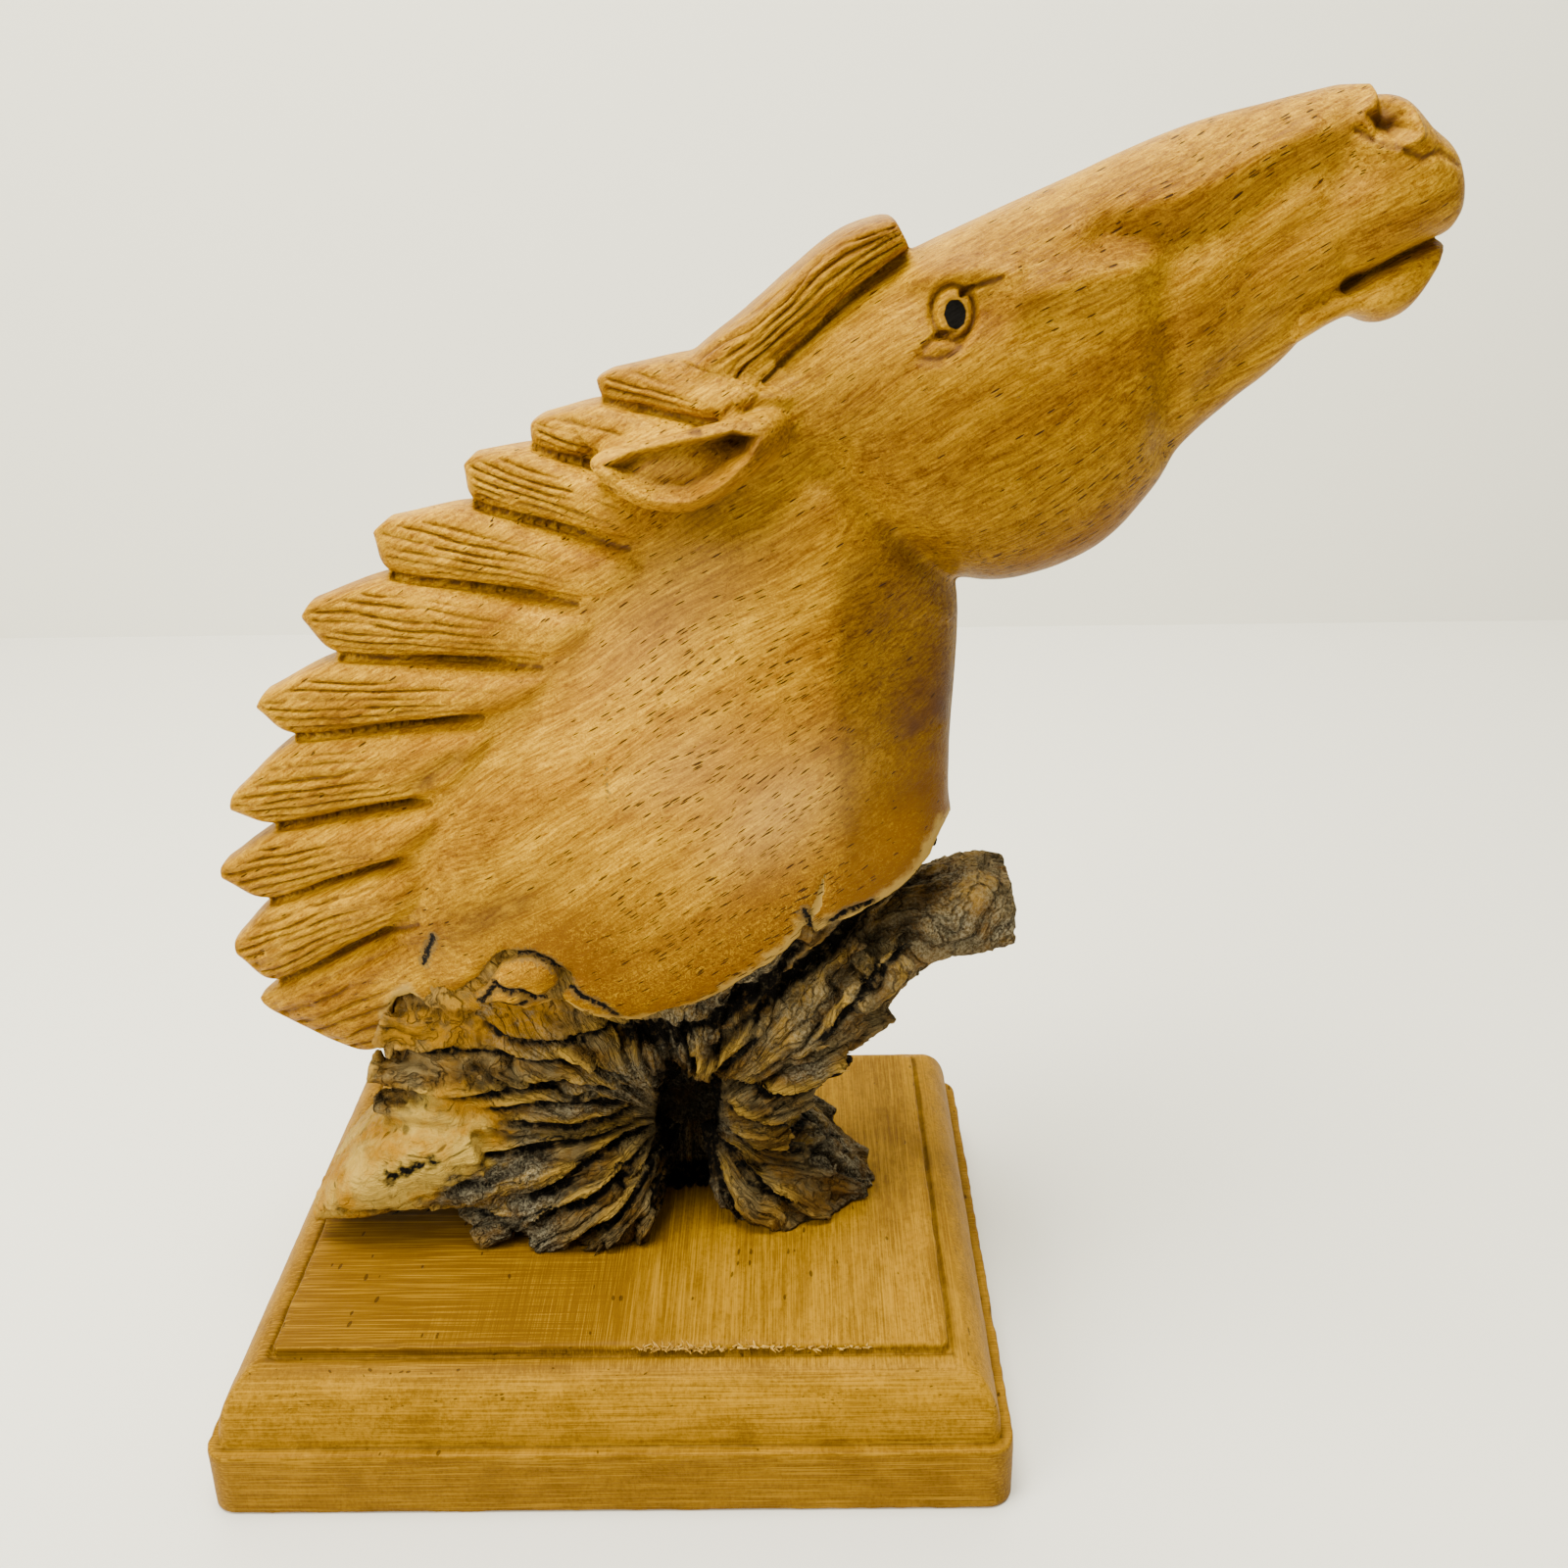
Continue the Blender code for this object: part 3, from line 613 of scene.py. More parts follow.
# Strokes that shape the head and the neck
FORM_STROKES = [
    Stroke([(40.5, 89.6), (46.0, 88.6), (50.5, 90.2), (55.0, 93.6), (57.8, 94.0)], 1.7, 1.25),
    Stroke([(52.0, 87.4), (56.4, 90.4), (58.6, 93.4)], 1.6, 0.6),
    Stroke([(44.6, 86.0), (46.0, 79.5), (46.2, 73.6)], 1.5, 1.15),
    Stroke([(49.0, 77.6), (54.0, 81.8), (57.5, 84.6)], 1.2, 0.6),
    Stroke([(34.0, 85.4), (38.5, 86.4), (43.4, 87.4)], 1.5, -0.9),
    Stroke([(38.0, 89.8), (46.0, 92.2), (55.0, 96.2)], 1.3, -0.55),
    Stroke([(36.0, 82.6), (41.0, 82.2), (44.0, 79.0)], 2.2, 0.45),
    Stroke([(20.0, 72.5), (23.4, 68.2), (26.5, 65.6), (30.4, 62.2)], 1.9, 1.2),
    Stroke([(5.0, 67.6), (12.0, 68.6), (18.0, 72.0)], 1.8, 0.9),
    Stroke([(22.0, 83.0), (25.2, 85.4)], 1.8, 0.7),
    Stroke([(25.8, 86.4), (29.0, 87.2), (33.2, 87.0)], 0.9, -0.75),
    Stroke([(27.6, 83.8), (30.8, 84.2)], 1.9, 0.9),
    Stroke([(22.4, 40.0), (20.4, 48.0), (20.0, 55.0), (20.6, 61.0), (23.0, 67.0)], 4.0, 0.9, CutShape.BEVEL,
           (1.0, 1.0), 20.0),
    Stroke([(26.4, 60.0), (26.6, 52.0), (26.8, 45.0)], 2.4, 0.6),
    Stroke([(-8.0, 47.0), (-2.0, 54.0), (4.0, 60.5), (8.0, 65.0)], 3.0, 0.5),
    Stroke([(-16.0, 45.6), (-14.2, 46.8), (-12.0, 48.4)], 0.7, 0.45),
    Stroke([(-8.6, 29.6), (-5.6, 29.6)], 1.6, -0.95),
    Stroke([(-11.2, 26.6), (-8.0, 26.9)], 1.0, -0.7),
    Stroke([(-13.4, 24.8), (-12.9, 26.6), (-11.4, 28.2), (-10.0, 29.9), (-8.6, 31.2)], 0.75, 0.8),
    Stroke([(-3.2, 29.4), (-4.4, 27.6), (-4.6, 25.6)], 0.75, 0.8),
]
# The crease in front of the eye, its rear corner, the fold below it, and the mouth
FACE_LINES = [
    Stroke([(29.6, 85.4), (30.6, 85.9), (32.4, 86.5)], 0.36, 0.77, CutShape.VEE, (1.0, 0.4)),
    Stroke([(28.9, 82.7), (27.4, 82.3), (26.7, 81.6)], 0.36, 0.77, CutShape.VEE, (1.0, 0.4)),
    Stroke([(26.4, 80.9), (27.7, 80.8), (29.4, 81.6)], 0.45, 0.30),
    Stroke([(59.6, 84.9), (61.4, 85.9), (63.6, 87.0), (66.0, 88.2), (68.0, 88.8)], 0.34, 1.3,
           CutShape.VEE, (1.0, 0.6)),
    Stroke([(59.8, 85.0), (61.0, 85.6)], 0.55, 1.0),
    Stroke([(58.6, 96.4), (60.0, 95.4), (61.8, 95.0), (63.2, 94.4), (64.6, 94.9), (66.6, 93.9)], 0.5, 0.5,
           CutShape.VEE, (1.0, 0.3)),
]
# The drop around the ear, below it and above it
EAR_EDGES = [
    Stroke([(1.0, 73.2), (2.5, 71.3), (5.3, 69.8), (8.8, 69.5), (12.2, 71.0), (14.6, 73.2), (16.2, 75.0)],
           0.26, 1.3, CutShape.STOP, (1.0, 0.2), 3.4),
    Stroke([(15.6, 77.1), (12.0, 77.0), (8.0, 76.0), (4.6, 75.2), (1.9, 74.3), (1.0, 73.2)], 0.24, 0.9,
           CutShape.STOP, (0.0, 1.0), 2.2),
]
# Black cracks: a slit, a split of the edge, and the lines of the knot
CRACKS = [
    Stroke([(-16.3, 29.4), (-15.7, 31.0), (-15.1, 32.3)], 0.40, 0.5, CutShape.VEE, (0.3, 0.3)),
    Stroke([(17.9, 33.4), (17.6, 34.6), (17.2, 35.6)], 0.26, 0.35, CutShape.VEE, (1.0, 0.2)),
    Stroke([(-12.9, 25.0), (-12.6, 26.6), (-12.1, 27.5), (-11.0, 28.3), (-10.1, 29.8), (-9.2, 31.0),
            (-7.8, 31.6), (-6.2, 31.8), (-4.7, 31.2), (-3.8, 30.2), (-3.5, 29.0), (-3.9, 28.2),
            (-4.9, 27.4), (-4.4, 26.0)], 0.50, 0.77, CutShape.VEE),
    Stroke([(-9.7, 28.6), (-8.6, 28.0), (-7.4, 28.1), (-6.2, 27.1), (-5.0, 27.3)], 0.40, 0.6, CutShape.VEE),
    Stroke([(-12.5, 26.0), (-11.2, 26.5), (-10.2, 27.7), (-9.6, 28.7)], 0.36, 0.6, CutShape.VEE),
    Stroke([(-11.4, 25.6), (-9.8, 26.3), (-8.4, 26.1), (-7.2, 26.8)], 0.32, 0.5, CutShape.VEE, (1.0, 0.5)),
    Stroke([(-19.8, 23.2), (-17.4, 24.1), (-15.0, 23.9), (-12.9, 25.0)], 0.36, 0.6, CutShape.VEE),
    Stroke([(-3.6, 29.2), (-2.2, 27.4), (-0.4, 26.2), (0.6, 24.6)], 0.26, 0.35, CutShape.VEE, (1.0, 0.3)),
    Stroke([(19.6, 34.0), (20.8, 34.9), (23.2, 35.4)], 0.34, 0.6, CutShape.VEE, (0.6, 1.0)),
]
FORELOCK_TOP = [(5.6, 78.6), (9.5, 81.7), (13.0, 83.6), (15.7, 85.7), (17.8, 87.9), (20.4, 89.6),
                (24.8, 90.6)]
FORELOCK_FOOT = [(11.6, 75.4), (14.6, 79.0), (17.7, 81.7), (20.3, 84.1), (22.9, 86.2), (25.8, 88.4)]
FORELOCK_LINES = [
    Stroke(FORELOCK_FOOT, 0.22, 1.2, CutShape.STOP, (0.3, 1.0), 2.4),
    Stroke([(14.6, 79.0), (17.7, 81.7), (20.3, 84.1), (22.9, 86.2), (25.8, 88.4)], 0.26, 0.5, CutShape.VEE),
    Stroke([(26.2, 88.4), (25.7, 89.4), (25.0, 90.8)], 0.26, 0.4, CutShape.VEE),
]

# Strokes that part the root below the live edge
CLEFT = Stroke([(8.2, 18.6), (13.0, 23.6), (18.1, 28.0), (22.6, 32.8), (27.4, 36.4), (30.6, 38.6)], 1.1, 3.2,
               ends=(0.5, 1.0))
SPLIT = Stroke([(1.0, 21.4), (5.0, 21.6), (9.6, 23.2), (13.6, 26.6), (16.6, 30.4)], 0.9, 1.5)
# Plates of bark: each drops away below its line, on the left of the cavity and on its right
PLATES = [
    Stroke([(-22.6, 19.6), (-18.3, 20.0), (-14.9, 20.4), (-11.9, 20.4), (-8.2, 19.9), (-4.8, 19.7),
            (-0.9, 18.0), (2.6, 17.1)], 0.24, 1.5, CutShape.STOP, (0.8, 0.7), 3.2),
    Stroke([(-11.9, 24.1), (-9.5, 22.4), (-6.9, 21.8), (-4.4, 21.5), (-1.8, 22.4), (0.8, 22.7), (3.4, 23.2)],
           0.24, 1.2, CutShape.STOP, (0.6, 0.8), 2.4),
    Stroke([(-21.0, 15.9), (-16.0, 15.6), (-12.2, 15.9), (-8.5, 16.4), (-4.7, 16.9), (-1.1, 15.9),
            (2.1, 15.3)], 0.24, 1.4, CutShape.STOP, (0.9, 0.7), 2.6),
    Stroke([(-12.9, 14.3), (-10.0, 14.7), (-6.6, 14.7), (-2.6, 14.3), (0.7, 13.1)], 0.24, 0.9, CutShape.STOP,
           (0.4, 1.0), 2.0),
    Stroke([(-11.0, 13.0), (-7.8, 12.1), (-4.2, 11.6), (-1.2, 12.0), (1.9, 12.5)], 0.24, 1.1, CutShape.STOP,
           (0.4, 1.0), 2.2),
    Stroke([(-14.1, 9.7), (-10.8, 9.7), (-7.5, 10.1), (-3.9, 10.1), (-0.5, 10.5), (2.2, 11.0)], 0.26, 1.5,
           CutShape.STOP, (0.4, 1.0), 3.0),
    Stroke([(-9.6, 5.2), (-7.7, 6.0), (-5.1, 7.2), (-2.1, 8.5), (0.9, 9.7), (2.8, 10.1)], 0.26, 1.6,
           CutShape.STOP, (0.8, 1.0), 2.6),
    Stroke([(-8.6, 3.0), (-6.7, 4.2), (-3.3, 5.3), (-0.7, 6.6), (1.6, 8.3), (2.9, 9.1)], 0.26, 1.3,
           CutShape.STOP, (1.0, 0.9), 2.2),
    Stroke([(-5.0, 0.4), (-3.8, 1.6), (-1.5, 3.1), (0.8, 4.8), (2.3, 6.9), (3.0, 8.7)], 0.26, 1.4,
           CutShape.STOP, (1.0, 0.9), 2.4),
    Stroke([(10.4, 15.9), (13.8, 15.1), (16.8, 15.4), (19.8, 16.6), (22.7, 18.2)], 0.26, 2.0, CutShape.STOP,
           (0.9, 0.6), 3.0),
    Stroke([(9.6, 13.3), (12.2, 12.3), (14.9, 11.4), (17.5, 11.6)], 0.24, 1.2, CutShape.STOP,
           (1.0, 0.6), 2.0),
    Stroke([(9.9, 10.6), (12.9, 8.5), (16.7, 7.9), (20.1, 8.3)], 0.24, 1.4, CutShape.STOP, (1.0, 0.6), 2.4),
    Stroke([(9.5, 8.8), (11.4, 6.7), (14.4, 4.1), (16.5, 2.6)], 0.24, 1.2, CutShape.STOP, (1.0, 0.8), 2.2),
    Stroke([(8.4, 7.9), (9.4, 5.0), (10.9, 2.3), (11.6, -0.4)], 0.24, 1.0, CutShape.STOP, (1.0, 0.8), 1.8),
    Stroke([(8.6, 16.6), (10.8, 19.2), (13.4, 22.0)], 0.26, 0.8, CutShape.STOP, (1.0, 0.3), 2.0),
    Stroke([(17.6, 20.4), (20.4, 23.6), (23.4, 27.4), (26.4, 30.2)], 0.24, 0.7, CutShape.STOP,
           (0.4, 1.0), 1.6),
    Stroke([(6.2, 23.5), (6.5, 21.2), (7.3, 17.3)], 0.30, 1.2, CutShape.VEE),
    Stroke([(-27.8, 3.9), (-22.8, 4.4), (-19.5, 4.3), (-16.5, 3.8), (-10.5, 3.3)], 0.26, 1.4, CutShape.STOP,
           (1.0, 1.0), 2.4),
]
# The middle of the flare's sapwood, its worm tracks and its rough grey patch, and the cavity's slot
SAPWOOD = [(-14.5, 12.4), (-19.0, 9.6), (-23.0, 7.4), (-27.6, 4.8)]
WORM_TRACKS = [(-21.1, 8.6), (-19.1, 9.5), (-16.8, 10.3)]
ROUGH_PATCH = [(-17.1, 5.7), (-15.3, 7.9), (-11.5, 8.8), (-7.9, 7.4), (-8.9, 4.7), (-14.9, 4.7)]
SLOT = [(3.6, 13.4), (3.2, 8.0), (3.0, -3.0), (8.4, -3.0), (8.6, 8.0), (9.4, 14.6), (8.3, 16.4),
        (5.0, 17.2), (3.4, 15.8)]

# Outlines on the side of the head: nostril, cup of the ear, eyeball (middle and half widths) and pupil
NOSTRIL = [(59.3, 97.4), (59.8, 95.9), (61.2, 95.4), (62.6, 96.2), (62.2, 97.6), (60.6, 98.6)]
EAR_CUP = [(2.2, 73.5), (3.5, 72.1), (6.0, 70.9), (8.8, 70.8), (11.4, 72.2), (13.4, 74.0), (14.2, 75.6),
           (12.2, 76.0), (8.2, 75.4), (4.6, 74.6)]
EAR_CUP_END = (12.7, 75.0)
EYEBALL = (28.95, 84.05, 1.42, 1.72)
PUPIL = [(28.75, 85.0), (29.5, 84.95), (29.9, 84.1), (29.7, 83.3), (29.1, 82.85), (28.5, 83.1), (28.2, 83.9),
         (28.35, 84.6)]

# Spots of colour in the wood, and of painted light and shade. Rows: strength, x and z of the middle, half
# length and width, rise in degrees
STAINS = {
    "amber": [(0.9, -5.0, 31.0, 10.0, 4.6, 25), (0.5, 41.0, 66.0, 6.0, 3.0, 40),
              (0.5, -9.0, 58.0, 9.0, 3.0, 48)],
    # shade: dark streaks and a bark inclusion in the wood, and painted shade on the neck's front edge and
    # under the facial crest
    "shade": [(1.6, 28.2, 49.8, 2.8, 7.0, 0), (0.8, 20.5, 46.0, 1.6, 7.0, 10),
              (0.9, -9.5, 35.0, 8.0, 1.0, 32), (0.5, 24.0, 66.5, 1.4, 6.0, -42),
              (1.3, -13.6, 47.2, 2.8, 0.6, 36), (0.35, 56.8, 94.4, 2.6, 2.0, 30),
              (0.4, 44.0, 88.6, 6.0, 0.9, 12)],
    # sheen: painted highlights on the neck
    "sheen": [(1.0, 15.0, 44.5, 6.5, 4.0, 40), (0.5, 6.0, 60.0, 9.0, 5.0, 40),
              (0.6, 7.6, 48.5, 6.0, 3.5, 35)],
    "pored": [(0.9, 40.0, 68.0, 9.0, 3.6, 38), (0.4, 52.0, 94.0, 14.0, 3.0, 22),
              (0.4, 8.0, 73.0, 8.0, 5.0, 38)],
    # tone: painted light on the middle of the neck, painted shade on the cheek, jaw, temple and under the
    # ear, and a darker place left of the knot
    "tone": [(0.58, 6.0, 52.0, 14.0, 18.0, 20), (-0.38, 36.0, 71.0, 15.0, 9.5, 38),
             (-0.28, 20.0, 77.0, 6.0, 5.0, 0), (-0.50, 9.6, 66.6, 6.5, 2.4, 20),
             (-0.35, -12.4, 34.5, 6.0, 3.0, 30)],
    "ashen": [(1.0, -9.6, 21.6, 3.4, 1.3, 0), (1.0, 5.0, 19.8, 2.4, 2.6, 0), (1.0, 13.0, 27.2, 5.0, 1.4, 42),
              (0.7, 18.0, 23.0, 7.0, 3.4, 45), (0.8, 31.0, 31.0, 7.0, 4.5, 0)],
}
# Middle and half widths of the knot
KNOT = ((-8.2, 28.4), (4.6, 3.0))


def stains(name: str, x: Values, z: Values) -> Values:
    """Return how strong one colour's spots are together at places in the XZ plane."""
    return sum(strength * spot(x, z, (middle_x, middle_z), (length, width), rise)
               for strength, middle_x, middle_z, length, width, rise in STAINS[name])


def eye_distance(x: Values, z: Values) -> Values:
    """Return how far places lie from the middle of the eyeball, 1 at its rim."""
    ball_x, ball_z, half_x, half_z = EYEBALL
    return np.hypot((x - ball_x) / half_x, (z - ball_z) / half_z)


@dataclass(frozen=True)
class Mass:
    """A lofted mass whose stations are rows like those of the tables above."""

    stations: Stations
    offset: float = 0.0
    rings: int = 90
    sides: int = 72

    def skin(self) -> list[Points]:
        """Return the mass's rings of points, in shares."""
        angle = np.linspace(0, 2 * math.pi, self.sides, endpoint=False)
        rings = []
        for x1, z1, x0, z0, half, crest, square in through(self.stations, self.rings):
            power = 2 / square
            up = np.sign(np.cos(angle)) * np.abs(np.cos(angle)) ** power
            out = np.sign(np.sin(angle)) * np.abs(np.sin(angle)) ** power
            height = np.where(up > 0, crest + up * (1 - crest), crest + up * (1 + crest))
            x = (x1 + x0) / 2 + height * (x1 - x0) / 2
            z = (z1 + z0) / 2 + height * (z1 - z0) / 2
            rings.append(np.stack([x, self.offset + out * half, z], axis=1))
        return rings


@dataclass(frozen=True)
class Comb:
    """Gouge grooves side by side between two lines in the XZ plane. Lengths are shares."""

    low: Path
    high: Path
    outline: Path
    grooves: int
    cover: float

    START = (0.02, 0.34)
    STAGGER = 0.16
    WAVER = 0.50

    def count(self, x: Values, z: Values) -> tuple[Values, Values]:
        """Number the grooves.

        Args:
            x: the places' x.
            z: the places' z.

        Returns:
            How many grooves lie below each place, and how deeply it is grooved, from 0 to 1.
        """
        below, _, along = nearest_on(self.low, x, z)
        above, _, _ = nearest_on(self.high, x, z)
        share = below / np.maximum(below + above, 1e-6)
        inside = inside_distance(self.outline, x, z)
        deep = smooth_step(0.05, 0.45, inside) * smooth_step(self.cover + 0.04, self.cover - 0.02, share)
        lengths = Noise(10).layers(np.stack([0 * x, 14 * share, 0 * z], axis=1), 1)
        deep = deep * smooth_step(*self.START, along + self.STAGGER * lengths)
        waver = Noise(8).layers(np.stack([0.20 * x, 4 * share, 0.20 * z], axis=1), 2)
        patchy = smooth_step(-0.7, 0.1, Noise(9).layers(np.stack([0.35 * x, 9 * share, 0.35 * z], axis=1), 2))
        return share / self.cover * self.grooves + self.WAVER * waver, deep * patchy


@dataclass(frozen=True)
class Lock:
    """One feather-like lock of the mane. Points are (x, z) and lengths are in shares."""

    tip: tuple[float, float]
    low: tuple[float, float]
    high: tuple[float, float]
    low_end: tuple[float, float]
    high_end: tuple[float, float]
    grooves: int
    cover: float
    root_thickness: float = 8.0
    notch_thickness: float = 3.4
    tip_thickness: float = 1.5
    crest: float = 0.2
    squareness: float = 3.0
    buried_length: float = 5.0
    buried_thickness: float = 6.4
    tip_spread: float = 0.10
    past_notch: float = 9.0

    def mass(self) -> Mass:
        """Return the lock's body."""
        tip, low, high = np.array(self.tip), np.array(self.low), np.array(self.high)
        low_end, high_end = np.array(self.low_end), np.array(self.high_end)
        inward = (low_end + high_end) / 2 - tip
        buried = self.buried_length * inward / np.linalg.norm(inward)
        spread = self.tip_spread * (high - low)
        midway = (self.root_thickness + self.notch_thickness) / 2
        edges = [
            (high_end + buried, low_end + buried, self.buried_thickness),
            (high_end, low_end, self.root_thickness),
            ((high + high_end) / 2, (low + low_end) / 2, midway),
            (high, low, self.notch_thickness),
            (tip + spread, tip - spread, self.tip_thickness),
        ]
        return Mass([(*upper, *lower, half, self.crest, self.squareness) for upper, lower, half in edges],
                    rings=70, sides=64)

    def strokes(self) -> list[Stroke]:
        """Return the cuts under the lock."""
        line = [self.low_end, self.low]
        return [Stroke(line, 0.20, 0.85, CutShape.STOP, (0.3, 1.0), 2.2),
                Stroke(line, 0.30, 0.6, CutShape.VEE, (0.3, 1.0))]

    def comb(self) -> Comb:
        """Return the grooves along the lock's lower flank."""
        lines = []
        for start, notch in ((self.low_end, self.low), (self.high_end, self.high)):
            run_x, run_z = notch[0] - start[0], notch[1] - start[1]
            past = self.past_notch / math.hypot(run_x, run_z)
            lines.append([start, notch, (notch[0] + past * run_x, notch[1] + past * run_z)])
        outline = [self.low_end, self.low, self.tip, self.high, self.high_end]
        return Comb(lines[0], lines[1], outline, self.grooves, self.cover)


@dataclass(frozen=True)
class WoodWork:
    """How finely the fused wood is worked, in metres where it is a length."""

    voxel: float = 0.50 * MILLIMETRE
    smooth_passes: int = 10
    smooth_factor: float = 0.5
    triangles: int = 194_000
    side_fade: float = 2.0

    def fuse(self, name: str, bodies: list[list[Points]]) -> Object:
        """Fuse lofted bodies with a voxel remesh modifier, still live.

        Args:
            name: name of the object.
            bodies: rings of points of each body, in shares.

        Returns:
            The object.
        """
        bm = bmesh.new()
        for rings in bodies:
            loft(bm, [ring * SHARE for ring in rings])
        bmesh.ops.recalc_face_normals(bm, faces=bm.faces)
        made = new_object(name, mesh_from(name, bm))
        self.add_remesh(made)
        return made

    def add_remesh(self, draft: Object) -> None:
        """Add the voxel remesh modifier."""
        remesh = draft.modifiers.new("remesh", "REMESH")
        remesh.mode = "VOXEL"
        remesh.voxel_size = self.voxel

    def add_smooth(self, draft: Object) -> None:
        """Add the smoothing that takes the voxels' steps away."""
        smooth = draft.modifiers.new("smooth", "SMOOTH")
        smooth.factor = self.smooth_factor
        smooth.iterations = self.smooth_passes

    def finish(self, name: str, mesh: Mesh, places: Points, material: Material,
               cutters: list[Object]) -> Object:
        """Thin a carved mesh out, saw it and dress it.

        Args:
            name: name of the piece.
            mesh: the carved mesh.
            places: its points, in shares.
            material: its finish.
            cutters: blocks that are cut away and removed.

        Returns:
            The piece, standing in for the carving's CAD node.
        """
        # From shares to metres, and no further out than the CAD box
        low, high = (np.array(corner) for corner in CAD_BOX)
        points = places * SHARE
        points[:, 2] += SEAT_Z
        points[:, 0] = np.clip(points[:, 0], low[0], high[0])
        points[:, 2] = np.minimum(points[:, 2], high[2])
        set_points(mesh, points)
        mesh.calc_loop_triangles()
        draft = new_object(name, mesh)
        thin = draft.modifiers.new("thin out", "DECIMATE")
        thin.ratio = min(1.0, self.triangles / len(mesh.loop_triangles))
        for cutter in cutters:
            cut_away(draft, cutter)
        finished = baked(draft, name)
        for cutter in cutters:
            bpy.data.objects.remove(cutter)
        finished.materials.clear()
        finished.materials.append(material)
        finished.shade_smooth()
        piece = new_object(name, finished)
        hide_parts("horse_head")
        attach(piece, BODY)
        return piece


def edge_height(points: Points) -> Values:
    """Return how far places lie over the live edge, in millimetres."""
    gap, side, _ = nearest_on(LIVE_EDGE, points[:, 0], points[:, 2])
    return -gap * side * SHARE_MM


def ragged_edge() -> Path:
    """Return the live edge as a fine, ragged line, in shares."""
    line = []
    for a, b in zip(LIVE_EDGE, LIVE_EDGE[1:]):
        steps = max(2, round(math.dist(a, b) / RAGGED_STEP))
        line += [(a[0] + (b[0] - a[0]) * i / steps, a[1] + (b[1] - a[1]) * i / steps) for i in range(steps)]
    places = np.array([(x, 0.0, z) for x, z in line])
    shift = RAGGEDNESS * np.stack([Noise(seed).layers(places * 1.1, 3) for seed in (31, 32)], axis=1)
    return [(x + dx, z + dz) for (x, z), (dx, dz) in zip(line, shift)]


@dataclass(frozen=True)
class CarvedHead:
    """The polished part of the carving: head, ears, neck, forelock and mane.

    Lengths are shares, except far_off, the distance in millimetres of what lies near no line.
    """

    work: WoodWork = WoodWork()
    tool_marks: float = 0.035
    eyeball_rise: float = 0.62
    nostril_depth: float = 2.5
    ear_cup_depth: float = 2.7
    rim_round: float = 0.22
    groove_depth: float = 0.42
    far_off: float = 9.0

    def combs(self) -> list[Comb]:
        """Return the grooves of the mane and the forelock."""
        forelock = Comb(FORELOCK_FOOT, FORELOCK_TOP, [*FORELOCK_FOOT, *FORELOCK_TOP[::-1]], 6, 1.0)
        return [forelock, *(lock.comb() for lock in self.locks())]

    def locks(self) -> list[Lock]:
        """Return the locks of the mane, from the lowest to the highest."""
        return [Lock(tip, NOTCHES[i], NOTCHES[i + 1], VALLEY_ENDS[i], VALLEY_ENDS[i + 1], *LOCK_GROOVES[i])
                for i, tip in enumerate(LOCK_TIPS)]

    def ears(self) -> list[list[Points]]:
        """Return the rings of the two ears, laid back along the mane."""
        angle = np.linspace(0, 2 * math.pi, 72, endpoint=False)
        ears = []
        for side in (-1, 1):
            rings = []
            for x1, z1, x0, z0, half, middle in through(EAR, 72):
                x = (x1 + x0) / 2 + np.cos(angle) * (x1 - x0) / 2
                z = (z1 + z0) / 2 + np.cos(angle) * (z1 - z0) / 2
                rings.append(np.stack([x, side * (middle + half * np.sin(angle)), z], axis=1))
            ears.append(rings)
        return ears

    def form(self) -> Mesh:
        """Fuse the masses and cut them off along the live edge."""
        bodies = [Mass(SKULL, rings=120).skin(), Mass(UPPER_LIP).skin(), Mass(LOWER_LIP).skin(),
                  Mass(NECK, rings=120, sides=96).skin(), Mass(FORELOCK).skin()]
        bodies += [lock.mass().skin() for lock in self.locks()]
        draft = self.work.fuse("head_form", bodies + self.ears())
        below = [(x * SHARE, z * SHARE) for x, z in [*ragged_edge(), (40.0, -10.0), (-27.0, -10.0)]]
        block = prism("below_live_edge", below, 20 * SHARE)
        cut_away(draft, block)
        self.work.add_remesh(draft)
        self.work.add_smooth(draft)
        mesh = baked(draft, "head_form")
        bpy.data.objects.remove(block)
        return mesh

    def face_cut(self, x: Values, z: Values) -> Values:
        """Work out the cuts of the eye, the nostril and the cup of the ear.

        Args:
            x: the places' x, in shares.
            z: the places' z, in shares.

        Returns:
            The depth at each place, in shares.
        """
        ball = eye_distance(x, z)
        cut = -self.eyeball_rise * np.sqrt(np.clip(1 - ball ** 2, 0, 1))
        cut += 0.50 * np.exp(-((ball - 1.12) / 0.15) ** 2)
        cut -= 0.16 * np.exp(-((ball - 1.55) / 0.24) ** 2)
        cut += 0.12 * smooth_step(-0.10, 0.06, inside_distance(PUPIL, x, z))
        nostril = inside_distance(NOSTRIL, x, z)
        cut += self.nostril_depth * smooth_step(-0.15, 1.1, nostril)
        cut -= 0.45 * np.exp(-((nostril + 0.45) / 0.35) ** 2)
        cut -= 1.5 * spot(x, z, (60.9, 97.2), (1.1, 0.6), -25)
        cup = inside_distance(EAR_CUP, x, z)
        deepest = spot(x, z, EAR_CUP_END, (2.6, 1.3))
        cut += smooth_step(-0.15, 1.0, cup) * self.ear_cup_depth * (0.9 + 0.6 * deepest)
        return cut

    def build(self, material: Material) -> Object:
        """Carve the piece.

        Args:
            material: the polished wood.

        Returns:
            The finished piece.
        """
        mesh = self.form()
        LOG.info("head form: %d points", len(mesh.vertices))
        points = points_of(mesh) / SHARE
        x, y, z = points.T
        fade = np.clip(np.abs(y) / self.work.side_fade, 0, 1)
        strokes = [*FORM_STROKES, *FACE_LINES, *EAR_EDGES, *CRACKS, *FORELOCK_LINES]
        for lock in self.locks():
            strokes += lock.strokes()
